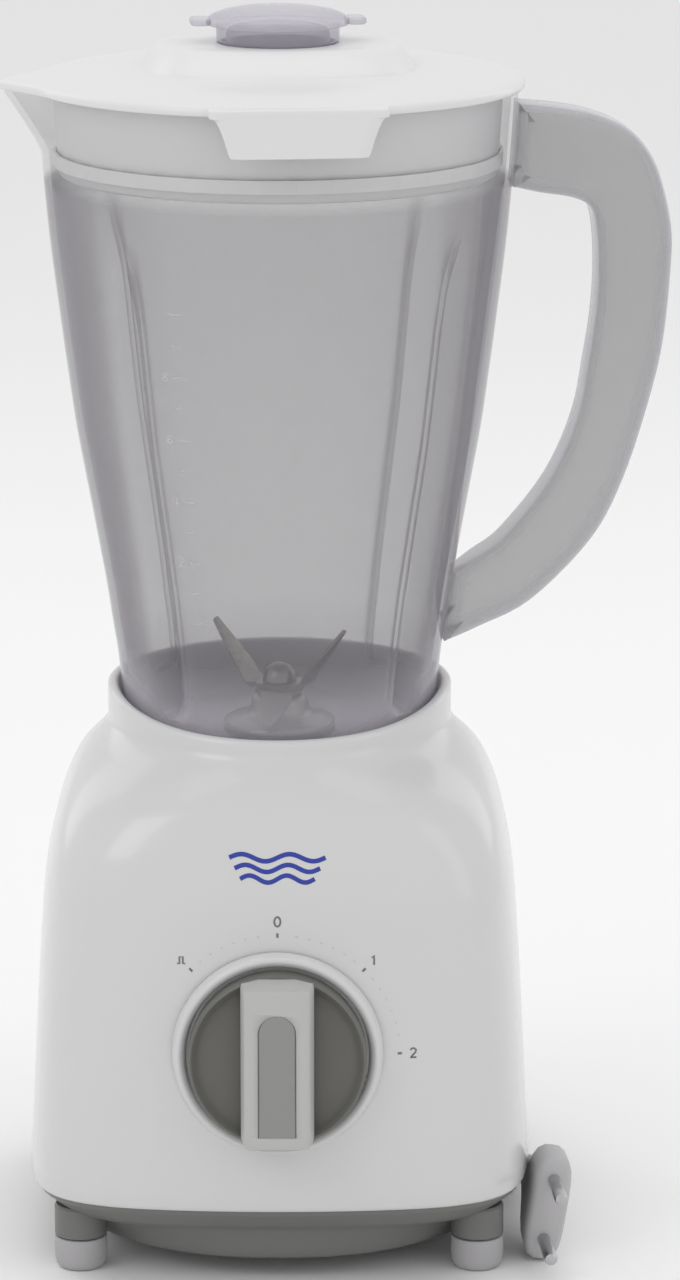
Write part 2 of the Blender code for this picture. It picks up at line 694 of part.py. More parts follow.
def knob(parent):
    """The knob, its spindle and the switch. Local +Z points out of the front, local +Y up."""
    axis = frame("knob_axis", parent, (0, panel_y(), KNOB_Z), (math.pi / 2, 0, 0))
    back = 0.0004 + GAP
    face = back + KNOB_SKIRT
    profile = [
        (SPINDLE_RADIUS + GAP, face - 0.0030),
        (SPINDLE_RADIUS + 0.0040, face - 0.0030),
        (KNOB_RADIUS - 0.0060, face - 0.0022),
        (KNOB_RADIUS - 0.0018, face - 0.0002),
        (KNOB_RADIUS - 0.0006, face),
        (KNOB_RADIUS, face - 0.0008),
        (KNOB_RADIUS, back),
        (SPINDLE_RADIUS + GAP, back),
    ]
    turned("knob_body", profile, DARK_GREY, axis, closed=True, steps=ROUND)
    floor = face - 0.0022 + GAP
    top = face + KNOB_GRIP_HEIGHT
    reach = KNOB_RADIUS - 0.0015
    half = KNOB_GRIP_WIDTH / 2
    swing = math.degrees(math.acos(half / reach))
    ends = arc((0, 0), reach, swing, 180 - swing, 8) + arc((0, 0), reach, 180 + swing, 360 - swing, 8)
    # The grip stands on the dished face, inside the rolled rim.
    low = face + GAP
    bar = plate_mesh("knob_grip", [ends], top - low, 0.0018, 1)
    grip = add("knob_grip", bar, LIGHT_GREY, axis, (0, 0, (low + top) / 2))
    stem = cylinder_mesh("grip_stem", SPINDLE_RADIUS + 0.0035, floor - 0.0005, low + 0.002)
    boolean(grip, add("grip_stem", stem, None, axis), "UNION")
    inlay_half = KNOB_INLAY_WIDTH / 2
    inlay_top = reach - 0.008
    slot_low = top - 0.0012
    slot = plate_mesh("inlay_slot", [inlay_outline(inlay_half, inlay_top, reach - 0.0030)], 0.004)
    boolean(grip, add("inlay_slot", slot, None, axis, (0, 0, slot_low + 0.002)), "DIFFERENCE")
    inlay = plate_mesh(
        "knob_inlay", [inlay_outline(inlay_half - GAP, inlay_top - GAP, reach - 0.0030 - GAP)], 0.0012
    )
    add("knob_inlay", inlay, MID_GREY, axis, (0, 0, slot_low + GAP + 0.0006))
    bore = cylinder_mesh("grip_bore", SPINDLE_RADIUS + GAP, floor - 0.002, face + 0.004)
    boolean(grip, add("grip_bore", bore, None, axis), "DIFFERENCE")
    spindle_top = face + 0.0037
    spindle_low = spindle_top - SPINDLE_LENGTH - KNOB_SKIRT
    spindle = [(0, spindle_top), (SPINDLE_RADIUS, spindle_top), (SPINDLE_RADIUS, spindle_low), (0, spindle_low)]
    turned("knob_spindle", spindle, STEEL, axis)
    wall = BASE_WALL + 0.0016
    switch = box_mesh(
        "rotary_switch",
        (-SWITCH_WIDTH / 2, -SWITCH_HEIGHT / 2, -wall - SWITCH_DEPTH),
        (SWITCH_WIDTH / 2, SWITCH_HEIGHT / 2, -wall),
    )
    made = add("rotary_switch", switch, BLACK, axis)
    socket = cylinder_mesh("switch_socket", SPINDLE_RADIUS + RUNNING, spindle_low - GAP, 0)
    boolean(made, add("switch_socket", socket, None, axis), "DIFFERENCE")


def inlay_outline(half, top, foot_reach):
    """A tongue with a round upper end."""
    return [*arc((0, top - half), half, 0, 180, 8), (-half, -foot_reach + 0.004), (half, -foot_reach + 0.004)]


# Motor


def stator(parent):
    half = STATOR_SIDE / 2
    low = STATOR_FOOT_Z
    high = low + STATOR_HEIGHT
    slot_x = (COIL_HALF_WIDTH - COIL_THICKNESS - GAP, COIL_HALF_WIDTH + GAP)
    slot_y = (COIL_Y - COIL_THICKNESS / 2 - GAP, COIL_Y + COIL_THICKNESS / 2 + GAP)
    windows = []
    for across in (-1, 1):
        for along in (-1, 1):
            x = sorted((across * slot_x[0], across * slot_x[1]))
            y = sorted((along * slot_y[0], along * slot_y[1]))
            windows.append([(x[0], y[0]), (x[1], y[0]), (x[1], y[1]), (x[0], y[1])])
    bores = [arc((side * BOLT_X, 0), BOLT_RADIUS + GAP, 0, 360 - 30, 11) for side in (-1, 1)]
    bore = arc((0, 0), ARMATURE_RADIUS + AIR_GAP, 0, 360 - 360 / ROUND, ROUND - 1)
    outline = rounded_box(half, half, 0.005, 2)
    mesh = plate_mesh("stator_core", [outline, bore, *windows, *bores], STATOR_HEIGHT)
    add("stator_core", mesh, LAMINATION, parent, (0, 0, (low + high) / 2))
    for name, side in (("front", -1), ("rear", 1)):
        outer = rounded_box(COIL_HALF_WIDTH, STATOR_HEIGHT / 2 + COIL_OVERHANG, 0.003, 2)
        inner = rounded_box(
            COIL_HALF_WIDTH - COIL_THICKNESS, STATOR_HEIGHT / 2 + COIL_OVERHANG - COIL_THICKNESS, 0.0002, 1
        )
        coil = plate_mesh(f"field_coil_{name}", [outer, inner], COIL_THICKNESS)
        place = (0, side * COIL_Y, (low + high) / 2)
        add(f"field_coil_{name}", coil, COPPER, parent, place, (math.pi / 2, 0, 0))


def bracket(name, z, hub_low, hub_high, half_length, leg, arms, parent):
    """A cross bar with a bearing hub, and a leg each side that meets the stator."""
    made = add(
        name,
        box_mesh(
            name, (-half_length, -BRACKET_HALF_WIDTH, z), (half_length, BRACKET_HALF_WIDTH, z + BRACKET_THICKNESS)
        ),
        LAMINATION,
        parent,
    )
    hub = cylinder_mesh(f"{name}_hub", BRACKET_HUB_RADIUS, hub_low, hub_high, 24)
    boolean(made, add(f"{name}_hub", hub, None, parent), "UNION")
    if arms:
        arm = box_mesh(f"{name}_arms", (-0.006, -arms, z), (0.006, arms, z + BRACKET_THICKNESS))
        boolean(made, add(f"{name}_arms", arm, None, parent), "UNION")
    for side in (-1, 1):
        low, high = leg
        x = side * BOLT_X
        post = box_mesh(
            f"{name}_leg_{side}", (x - 0.004, -BRACKET_HALF_WIDTH, low), (x + 0.004, BRACKET_HALF_WIDTH, high)
        )
        boolean(made, add(f"{name}_leg_{side}", post, None, parent), "UNION")
        bore = cylinder_mesh(f"{name}_bolt_{side}", BOLT_RADIUS + GAP, z - 0.03, z + 0.03, 12)
        boolean(made, add(f"{name}_bolt_{side}", bore, None, parent, (x, 0, 0)), "DIFFERENCE")
    bearing = cylinder_mesh(f"{name}_bore", BUSHING_RADIUS + GAP, hub_low - 0.001, hub_high + 0.001, 24)
    boolean(made, add(f"{name}_bore", bearing, None, parent), "DIFFERENCE")
    return made


def motor(parent):
    stator(parent)
    stator_top = STATOR_FOOT_Z + STATOR_HEIGHT
    plate_top = UPPER_BRACKET_Z + BRACKET_THICKNESS
    hub_low = UPPER_BRACKET_Z - 0.003
    upper = bracket(
        "upper_bracket", UPPER_BRACKET_Z, hub_low, plate_top + 0.003, MOUNT_X + 0.006,
        (stator_top + GAP, plate_top - 0.001), 0, parent,
    )
    lower_hub = LOWER_BRACKET_Z - 0.007
    bracket(
        "lower_bracket", LOWER_BRACKET_Z, lower_hub, LOWER_BRACKET_Z + BRACKET_THICKNESS, BOLT_X + 0.005,
        (LOWER_BRACKET_Z + 0.001, STATOR_FOOT_Z - GAP), 0.026, parent,
    )
    ring("upper_bushing", SHAFT_RADIUS + RUNNING, BUSHING_RADIUS,
         hub_low + 0.001, hub_low + 0.001 + BUSHING_HEIGHT,
         BRASS, parent)
    ring("lower_bushing", SHAFT_RADIUS + RUNNING, BUSHING_RADIUS, lower_hub + 0.001,
         lower_hub + 0.001 + BUSHING_HEIGHT, BRASS, parent)
    for name, side in (("left", -1), ("right", 1)):
        x = side * MOUNT_X
        bore = cylinder_mesh(
            f"mount_bore_{name}", SCREW_RADIUS + GAP, UPPER_BRACKET_Z - 0.01, plate_top + 0.01, 12
        )
        boolean(upper, add(f"mount_bore_{name}", bore, None, parent, (x, 0, 0)), "DIFFERENCE")
        ring(f"motor_damper_{name}", SCREW_RADIUS + GAP, MOUNT_POST_RADIUS + 0.001, plate_top + GAP,
             plate_top + GAP + DAMPER_HEIGHT, RUBBER, parent, location=(x, 0, 0))
        head = UPPER_BRACKET_Z - GAP
        tip = plate_top + DAMPER_HEIGHT + 0.010
        screw = [(0, tip), (SCREW_RADIUS, tip - 0.001), (SCREW_RADIUS, head), (SCREW_HEAD_RADIUS, head),
                 (SCREW_HEAD_RADIUS, head - SCREW_HEAD_HEIGHT), (0, head - SCREW_HEAD_HEIGHT)]
        turned(f"motor_screw_{name}", screw, STEEL, parent, (x, 0, 0), steps=12)
        bolt_top = plate_top - 0.0005
        bolt_head = LOWER_BRACKET_Z - GAP
        bolt = [(0, bolt_top), (BOLT_RADIUS, bolt_top), (BOLT_RADIUS, bolt_head), (2 * BOLT_RADIUS, bolt_head),
                (2 * BOLT_RADIUS, bolt_head - 0.0025), (0, bolt_head - 0.0025)]
        turned(f"motor_bolt_{name}", bolt, STEEL, parent, (side * BOLT_X, 0, 0), steps=12)
    brushes(parent)


def commutator_span():
    low = LOWER_BRACKET_Z + BRACKET_THICKNESS + 0.0015
    return low, low + COMMUTATOR_HEIGHT


def brushes(parent):
    low, high = commutator_span()
    middle = (low + high) / 2
    start = COMMUTATOR_RADIUS + GAP
    hollow = BRUSH_SIDE / 2 + GAP
    shell = hollow + HOLDER_WALL
    for name, side in (("front", -1), ("rear", 1)):
        brush = box_mesh(
            f"carbon_brush_{name}",
            (-BRUSH_SIDE / 2, start, middle - BRUSH_SIDE / 2),
            (BRUSH_SIDE / 2, start + BRUSH_LENGTH, middle + BRUSH_SIDE / 2),
        )
        turn = (0, 0, 0 if side > 0 else math.pi)
        add(f"carbon_brush_{name}", brush, CARBON, parent, rotation=turn)
        square = [(-shell, -shell), (shell, -shell), (shell, shell), (-shell, shell)]
        hole = [(-hollow, -hollow), (hollow, -hollow), (hollow, hollow), (-hollow, hollow)]
        length = BRUSH_LENGTH
        holder = plate_mesh(f"brush_holder_{name}", [square, hole], length)
        place = (0, side * (start + 0.003 + length / 2), middle)
        add(f"brush_holder_{name}", holder, BRASS, parent, place, (math.pi / 2, 0, 0))


def rotor(parent):
    """Everything that spins with the motor shaft."""
    low, high = commutator_span()
    core_low = STATOR_FOOT_Z
    core_high = core_low + STATOR_HEIGHT
    bore = SHAFT_RADIUS + GAP
    shaft_top = coupler_foot() + 0.0042
    shaft = [(0, shaft_top), (SHAFT_RADIUS, shaft_top), (SHAFT_RADIUS, SHAFT_FOOT_Z), (0, SHAFT_FOOT_Z)]
    turned("motor_shaft", shaft, STEEL, parent)
    ring("armature_core", bore, ARMATURE_RADIUS, core_low, core_high, LAMINATION, parent, ROUND)
    lower_low = high + GAP
    lower_high = core_low - GAP
    winding(parent, "lower_winding", lower_low, lower_high, bore)
    winding(parent, "upper_winding", core_high + GAP, core_high + 0.0085, bore)
    ring("commutator", bore, COMMUTATOR_RADIUS, low, high, BRASS, parent, 24)
    hub = 0.009
    outline = []
    for blade in range(FAN_BLADES):
        turn = 360 * blade / FAN_BLADES
        edge = math.degrees(math.asin(0.0008 / FAN_RADIUS))
        root = math.degrees(math.asin(0.0008 / hub))
        outline += arc((0, 0), FAN_RADIUS, turn - edge, turn + edge, 1)
        outline += arc((0, 0), hub, turn + root, turn + 360 / FAN_BLADES - root, 3)
    hole = arc((0, 0), bore, 0, 360 - 360 / SMALL, SMALL - 1)
    fan = plate_mesh("cooling_fan", [outline, hole], FAN_HEIGHT)
    add("cooling_fan", fan, BLACK, parent, (0, 0, SHAFT_FOOT_Z + 0.002 + FAN_HEIGHT / 2))
    drive_coupler(parent)


def winding(parent, name, low, high, bore):
    outer = ARMATURE_RADIUS - 0.0015
    round_off = min(0.002, (high - low) / 3)
    profile = [
        (outer - round_off, high), (outer, high - round_off), (outer, low + round_off),
        (outer - round_off, low),
        (bore, low), (bore, high),
    ]
    turned(name, profile, COPPER, parent, closed=True, steps=24)


def coupler_foot():
    """Underside of the drive coupler, just over the splash seal."""
    return SOCKET_FLOOR_Z + SEAL_HEIGHT + 3 * GAP


def star(radius):
    """A six-lobed outline."""
    count = STAR_LOBES * 6
    outline = []
    for i in range(count):
        angle = 2 * math.pi * i / count
        reach = radius + STAR_LOBE * math.cos(STAR_LOBES * angle)
        outline.append((reach * math.cos(angle), reach * math.sin(angle)))
    return outline


def drive_coupler(parent):
    foot_z = coupler_foot()
    disc = [
        (0, foot_z + COUPLER_DISC), (COUPLER_RADIUS - 0.0005, foot_z + COUPLER_DISC),
        (COUPLER_RADIUS, foot_z + COUPLER_DISC - 0.0005), (COUPLER_RADIUS, foot_z), (0, foot_z),
    ]
    made = turned("drive_coupler", disc, BLACK, parent, steps=24)
    lobes = plate_mesh("coupler_star", [star(STAR_RADIUS)], STAR_HEIGHT + 0.001)
    middle = foot_z + COUPLER_DISC + STAR_HEIGHT / 2 - 0.0005
    boolean(made, add("coupler_star", lobes, None, parent, (0, 0, middle)), "UNION")
    bore = cylinder_mesh("coupler_bore", SHAFT_RADIUS + GAP, foot_z - 0.001, foot_z + 0.0042 + GAP)
    boolean(made, add("coupler_bore", bore, None, parent), "DIFFERENCE")


def splash_seal(parent):
    outer = SHAFT_HOLE_RADIUS - GAP
    top = SOCKET_FLOOR_Z + GAP + SEAL_HEIGHT
    profile = [
        (outer + 0.0025, top), (outer + 0.0025, SOCKET_FLOOR_Z + GAP), (outer, SOCKET_FLOOR_Z + GAP),
        (outer, SOCKET_FLOOR_Z - BASE_WALL), (SHAFT_RADIUS + GAP, SOCKET_FLOOR_Z - BASE_WALL),
        (SHAFT_RADIUS + GAP, top),
    ]
    turned("splash_seal", profile, CARBON, parent, closed=True, steps=20)


# Jug


def jug_radius(z):
    """Outer radius of the jug's wall."""
    if z <= JUG_LINE_Z:
        share = (z - SOCKET_FLOOR_Z) / (JUG_LINE_Z - SOCKET_FLOOR_Z)
        return JUG_FOOT_RADIUS + (JUG_LINE_RADIUS - JUG_FOOT_RADIUS) * share
    climb = min((z - JUG_LINE_Z) / (JUG_RIM_Z - JUG_LINE_Z), 1)
    for (low, start), (high, end) in zip(JUG_FLARE, JUG_FLARE[1:]):
        if climb <= high:
            share = start + (end - start) * (climb - low) / (high - low)
            return JUG_LINE_RADIUS + (JUG_RIM_RADIUS - JUG_LINE_RADIUS) * share
    return JUG_RIM_RADIUS


def rib_angles():
    """Where the four ribs stand, measured from +X."""
    front = -math.pi / 2
    return [front - RIB_ANGLE, front + RIB_ANGLE, -front - RIB_ANGLE, -front + RIB_ANGLE]


def apart(a, b):
    """The angle between two directions."""
    return abs((a - b + math.pi) % (2 * math.pi) - math.pi)


def jug_angles():
    """Even directions round the jug, with the ribs' and the spout's own edges among them."""
    half = RIB_HALF_WIDTH / JUG_RIM_RADIUS * 1.15
    marks = [angle + side * half for angle in rib_angles() for side in (-1, 0, 1)]
    marks += [math.pi + side * SPOUT_HALF_ANGLE * share for side in (-1, 1) for share in (1, 0.5, 0.2)]
    marks.append(math.pi)
    marks = [mark % (2 * math.pi) for mark in marks]
    step = 2 * math.pi / JUG_SIDES
    even = [i * step for i in range(JUG_SIDES)]
    kept = [angle for angle in even if all(apart(angle, mark) > 0.4 * step for mark in marks)]
    return sorted(marks + kept)


def rib_depth(angle, z):
    if z < RIB_FOOT_Z - 0.004 or z >= RIB_POINT_Z:
        return 0.0
    fade = min(1, (RIB_POINT_Z - z) / RIB_POINT_LENGTH, max(0.0, (z - RIB_FOOT_Z + 0.004) / 0.004))
    half = RIB_HALF_WIDTH / JUG_RIM_RADIUS * 1.15
    near = min(apart(angle, rib) for rib in rib_angles())
    return RIB_DEPTH * fade * max(0.0, 1 - near / half)


def spout_bump(angle, z, reach):
    rise = min(max((z - SPOUT_ROOT_Z) / (JUG_RIM_Z - SPOUT_ROOT_Z), 0), 1)
    near = apart(angle, math.pi)
    return reach * rise * max(0.0, 1 - near / SPOUT_HALF_ANGLE) ** 1.4


def jug_ring(z, inset=0.0):
    places = []
    for angle in jug_angles():
        reach = jug_radius(z) - inset - rib_depth(angle, z) + spout_bump(angle, z, SPOUT_REACH)
        places.append((reach * math.cos(angle), reach * math.sin(angle), z))
    return places


def plain_ring(radius, z):
    return [(radius * math.cos(angle), radius * math.sin(angle), z) for angle in jug_angles()]


def jug_rings():
    foot_z = SOCKET_FLOOR_Z + GAP
    rise = JUG_RIM_Z - JUG_LINE_Z
    flares = [JUG_LINE_Z + rise * climb for climb, _ in JUG_FLARE[1:-1]]
    special = [RIB_FOOT_Z - 0.004, RIB_FOOT_Z, RIB_POINT_Z - RIB_POINT_LENGTH, RIB_POINT_Z, SPOUT_ROOT_Z]
    heights = sorted({foot_z, JUG_LINE_Z, *flares, *special, JUG_RIM_Z})
    heights = [z for i, z in enumerate(heights) if i == 0 or z - heights[i - 1] > 0.0008]
    outer = [jug_ring(z) for z in heights]
    inner = [jug_ring(z, JUG_WALL) for z in reversed(heights) if z > JUG_FLOOR_Z]
    floor_z = JUG_FLOOR_Z
    under_z = JUG_FLOOR_Z - JUG_FLOOR_THICKNESS
    floor = [
        plain_ring(jug_radius(floor_z) - JUG_WALL, floor_z),
        plain_ring(BLADE_HOLE_RADIUS, floor_z),
        plain_ring(BLADE_HOLE_RADIUS, under_z),
        plain_ring(jug_radius(under_z) - JUG_WALL, under_z),
        plain_ring(jug_radius(foot_z) - JUG_WALL, foot_z),
    ]
    return outer + inner + floor


def handle_outline():
    """The handle's side view, as (reach, height) pairs, its two ends sunk in the jug's wall."""
    sink = JUG_WALL * 0.55
    top = (jug_radius(HANDLE_TOP_Z) - sink, HANDLE_TOP_Z)
    top_foot = (jug_radius(HANDLE_TOP_FOOT_Z) - sink, HANDLE_TOP_FOOT_Z)
    low_top = (jug_radius(HANDLE_LOW_TOP_Z) - sink, HANDLE_LOW_TOP_Z)
    low = (jug_radius(HANDLE_LOW_Z) - sink, HANDLE_LOW_Z)
    outer_points = [(reach, JUG_RIM_Z - depth) for reach, depth in HANDLE_OUTER]
    inner_points = [(reach, JUG_RIM_Z - depth) for reach, depth in HANDLE_INNER]
    outer = smooth([top, *outer_points, low], 3)
    inner = smooth([low_top, *inner_points, top_foot], 3)
    return [tuple(point) for point in outer + inner]


def jug(parent):
    made = add("jug", loft_mesh("jug", jug_rings(), closed=True), CLEAR, parent)
    handle = plate_mesh("handle_form", [handle_outline()], HANDLE_WIDTH, HANDLE_ROUNDING, 1)
    boolean(made, add("handle_form", handle, None, parent, rotation=(math.pi / 2, 0, 0)), "UNION")


def blade_unit(parent):
    """The bearing housing that fills the hole in the jug's floor, and what holds it there."""
    gasket_low = JUG_FLOOR_Z + GAP
    flange_low = gasket_low + GASKET_HEIGHT + GAP
    under = JUG_FLOOR_Z - JUG_FLOOR_THICKNESS
    bore = SHAFT_RADIUS + RUNNING
    body = BLADE_HOLE_RADIUS - GAP
    profile = [
        (bore, HOUSING_TOP_Z), (0.0070, HOUSING_TOP_Z), (0.0085, HOUSING_TOP_Z - 0.0010),
        (0.0105, flange_low + 0.0030), (HOUSING_FLANGE_RADIUS - 0.0010, flange_low + 0.0020),
        (HOUSING_FLANGE_RADIUS, flange_low + 0.0012), (HOUSING_FLANGE_RADIUS, flange_low), (body, flange_low),
        (body, housing_foot()), (bore, housing_foot()),
    ]
    turned("blade_bearing_housing", profile, LIGHT_GREY, parent, closed=True, steps=24)
    ring("blade_gasket", body + 2 * GAP, HOUSING_FLANGE_RADIUS, gasket_low, gasket_low + GASKET_HEIGHT,
         CARBON, parent, 24)
    nut_high = under - GAP
    ring("retaining_nut", body + GAP, NUT_RADIUS, nut_high - NUT_HEIGHT, nut_high, LIGHT_GREY, parent, 24)


def housing_foot():
    return JUG_FLOOR_Z - JUG_FLOOR_THICKNESS - NUT_HEIGHT - 0.0010


def cup_span():
    """Heights of the driven coupler: its mouth, the roof of its hollow and its top."""
    top = housing_foot() - GAP
    mouth = coupler_foot() + COUPLER_DISC + 0.0006
    roof = coupler_foot() + COUPLER_DISC + STAR_HEIGHT + 0.0006
    return mouth, roof, top


def blades(parent):
    """The spinning blade group: shaft, two bent blades, nut and the cup under the jug."""
    mouth, roof, top = cup_span()
    lower_z = HOUSING_TOP_Z + 0.0006
    upper_z = lower_z + BLADE_THICKNESS + GAP
    nut_low = upper_z + BLADE_THICKNESS + GAP
    nut_high = nut_low + 0.0042
    stud_top = nut_high - 0.0006
    shaft_low = roof + GAP
    profile = [
        (0, stud_top), (BLADE_STUD_RADIUS, stud_top), (BLADE_STUD_RADIUS, lower_z - GAP),
        (SHAFT_RADIUS, lower_z - GAP), (SHAFT_RADIUS, shaft_low), (0, shaft_low),
    ]
    turned("blade_shaft", profile, STEEL, parent)
    blade("lower_blade", lower_z, -BLADE_DOWN_DROP, BLADE_DOWN_ANGLE, parent)
    blade("upper_blade", upper_z, BLADE_UP_RISE, BLADE_UP_ANGLE, parent)
    nut = [
        (0, nut_high + 0.0012), (0.0028, nut_high + 0.0006), (0.0046, nut_high - 0.0010), (0.0052, nut_low),
        (BLADE_STUD_RADIUS + GAP, nut_low), (BLADE_STUD_RADIUS + GAP, stud_top + GAP), (0, stud_top + GAP),
    ]
    turned("blade_nut", nut, STEEL, parent)
    cup = add(
        "driven_coupler", cylinder_mesh("driven_coupler", COUPLER_RADIUS, mouth, top, 24), BLACK, parent
    )
    hollow = plate_mesh("cup_hollow", [star(STAR_RADIUS + STAR_CLEARANCE)], roof - mouth + 0.002)
    boolean(cup, add("cup_hollow", hollow, None, parent, (0, 0, (roof + mouth) / 2 - 0.001)), "DIFFERENCE")
    bore = cylinder_mesh("cup_bore", SHAFT_RADIUS + GAP, roof - 0.001, top + 0.001)
    boolean(cup, add("cup_bore", bore, None, parent), "DIFFERENCE")


def blade(name, z, rise, angle, parent):
    """A pair of blades cut from one strip, bent up or down either side of the hub."""
    half_hub = BLADE_HUB_RADIUS
    bend = half_hub + 0.001
    stations = (
        (-BLADE_REACH, 0.0012, rise),
        (-BLADE_REACH + 0.006, BLADE_HALF_WIDTH * 0.75, rise * (BLADE_REACH - 0.006 - bend) / (BLADE_REACH - bend)),
        (-bend, BLADE_HALF_WIDTH, 0),
        (-half_hub * 0.5, half_hub, 0),
        (half_hub * 0.5, half_hub, 0),
        (bend, BLADE_HALF_WIDTH, 0),
        (BLADE_REACH - 0.006, BLADE_HALF_WIDTH * 0.75, rise * (BLADE_REACH - 0.006 - bend) / (BLADE_REACH - bend)),
        (BLADE_REACH, 0.0012, rise),
    )
    rings = []
    for x, half, lift in stations:
        low = z + lift
        high = low + BLADE_THICKNESS
        skew = 0.0018 * (abs(x) > bend) * math.copysign(1, x)
        rings.append(
            [(x, skew - half, low), (x, skew + half, low), (x, skew + half, high), (x, skew - half, high)]
        )
    made = add(name, loft_mesh(name, rings), STEEL, parent, rotation=(0, 0, angle))
    hole = cylinder_mesh(f"{name}_hole", BLADE_STUD_RADIUS + GAP, z - 0.002, z + 0.004, 12)
    boolean(made, add(f"{name}_hole", hole, None, parent), "DIFFERENCE")


# Lid and measuring cap


def lid_ring(radius, z, beak):
    """A ring of the lid, drawn out over the spout."""
    places = []
    for angle in jug_angles():
        near = apart(angle, math.pi)
        reach = radius + beak * max(0.0, 1 - near / (SPOUT_HALF_ANGLE * 1.15)) ** 1.3
        places.append((reach * math.cos(angle), reach * math.sin(angle), z))
    return places


def skirt_radius(z):
    return jug_radius(z) - JUG_WALL - LID_SKIRT_CLEARANCE


def lid(parent):
    flange = JUG_RIM_Z + GAP
    edge = flange + LID_EDGE
    hole = CAP_RADIUS + 2 * GAP
    under = edge - LID_WALL + 0.0006
    skirt_top = skirt_radius(flange)
    skirt_foot = skirt_radius(LID_SKIRT_FOOT_Z)
    rings = [
        lid_ring(hole, edge + LID_CROWN, 0),
        lid_ring(LID_RADIUS * 0.62, edge + LID_CROWN * 0.86, 0),
        lid_ring(LID_RADIUS * 0.86, edge + LID_CROWN * 0.50, LID_BEAK_REACH * 0.5),
        lid_ring(LID_RADIUS - 0.0016, edge, LID_BEAK_REACH * 0.95),
        lid_ring(LID_RADIUS, edge - 0.0010, LID_BEAK_REACH),
        lid_ring(LID_RADIUS - 0.0002, flange, LID_BEAK_REACH),
        lid_ring(skirt_top, flange, 0),
        lid_ring(skirt_foot, LID_SKIRT_FOOT_Z, 0),
        lid_ring(skirt_foot - LID_WALL, LID_SKIRT_FOOT_Z, 0),
        lid_ring(skirt_top - LID_WALL, under, 0),
        lid_ring(LID_RADIUS * 0.60, under + LID_CROWN * 0.86, 0),
        lid_ring(hole, under + LID_CROWN, 0),
    ]
    made = add("lid", loft_mesh("lid", rings, closed=True), WHITE, parent)
    boss_foot = edge + LID_CROWN * 0.3
    boss = plate_mesh(
        "lid_boss", [rounded_box(LID_BOSS_HALF_WIDTH, LID_BOSS_HALF_DEPTH, LID_BOSS_CORNER)],
        LID_BOSS_TOP_Z - boss_foot, 0.0025, 1,
    )
    boolean(made, add("lid_boss", boss, None, parent, (0, 0, (LID_BOSS_TOP_Z + boss_foot) / 2)), "UNION")
    inset = LID_WALL + 0.001
    hollow = plate_mesh(
        "boss_hollow",
        [rounded_box(LID_BOSS_HALF_WIDTH - inset, LID_BOSS_HALF_DEPTH - inset, LID_BOSS_CORNER - inset)],
        LID_BOSS_TOP_Z - LID_WALL - LID_SKIRT_FOOT_Z,
    )
    hollow_z = (LID_BOSS_TOP_Z - LID_WALL + LID_SKIRT_FOOT_Z) / 2
    boolean(made, add("boss_hollow", hollow, None, parent, (0, 0, hollow_z)), "DIFFERENCE")
    mouth = cylinder_mesh("cap_mouth", hole, LID_BOSS_TOP_Z - 0.02, LID_BOSS_TOP_Z + 0.01, ROUND)
    boolean(made, add("cap_mouth", mouth, None, parent), "DIFFERENCE")
    tab(made, flange, edge, parent)


def tab(target, flange, edge, parent):
    """The grip at the front: a ledge off the flange with an apron hanging from it."""
    back = LID_RADIUS + TAB_STAND_OFF
    front = back + TAB_THICKNESS
    ledge = [
        (-TAB_HALF_WIDTH, -LID_RADIUS * 0.90), (-TAB_HALF_WIDTH, -front), (TAB_HALF_WIDTH, -front),
        (TAB_HALF_WIDTH, -LID_RADIUS * 0.90),
    ]
    ledge_mesh = plate_mesh("tab_ledge", [ledge], edge - flange - 2 * GAP)
    boolean(target, add("tab_ledge", ledge_mesh, None, parent, (0, 0, (flange + edge) / 2)), "UNION")
    high = edge - 0.0008
    apron = [
        (-TAB_FOOT_HALF_WIDTH, TAB_FOOT_Z), (TAB_FOOT_HALF_WIDTH, TAB_FOOT_Z),
        (TAB_HALF_WIDTH - 0.0005, high),
        (-TAB_HALF_WIDTH + 0.0005, high),
    ]
    apron_mesh = plate_mesh("tab_apron", [apron], TAB_THICKNESS - GAP)
    place = (0, -(back + front) / 2, 0)
    boolean(target, add("tab_apron", apron_mesh, None, parent, place, (math.pi / 2, 0, 0)), "UNION")


def lid_seal(parent):
    top = SEAL_FOOT_Z + SEAL_BAND
    inner = skirt_radius(top) + GAP
    outer = jug_radius(SEAL_FOOT_Z) - JUG_WALL - 3 * GAP
    ring("lid_seal", inner, outer, SEAL_FOOT_Z, top, RUBBER, parent, 40)


def measuring_cap(parent):
    seat = LID_BOSS_TOP_Z + GAP
    foot_z = LID_BOSS_TOP_Z - CAP_DEPTH
    roof = CAP_DISC_Z - GAP
    inner = CAP_RADIUS - CAP_WALL
    disc_top = CAP_DISC_Z + CAP_DISC_THICKNESS
    profile = [
        (0, CAP_TOP_Z), (CAP_DISC_RADIUS * 0.55, CAP_TOP_Z - 0.0006),
        (CAP_DISC_RADIUS * 0.85, CAP_TOP_Z - 0.0020),
        (CAP_DISC_RADIUS, disc_top), (CAP_DISC_RADIUS, CAP_DISC_Z), (CAP_RADIUS + CAP_SHOULDER, CAP_DISC_Z),
        (CAP_RADIUS + CAP_SHOULDER, seat), (CAP_RADIUS, seat), (CAP_RADIUS, foot_z), (inner, foot_z),
        (inner, roof - 0.0010), (inner - 0.0015, roof), (0, roof),
    ]
    made = turned("measuring_cap", profile, CLEAR, parent, steps=ROUND)
    ears = plate_mesh(
        "cap_ears", [rounded_box(CAP_EAR_REACH, CAP_EAR_HALF_WIDTH, 0.002, 2)], CAP_DISC_THICKNESS - 2 * GAP
    )
    boolean(made, add("cap_ears", ears, None, parent, (0, 0, CAP_DISC_Z + CAP_DISC_THICKNESS / 2)), "UNION")


# Cord and plug


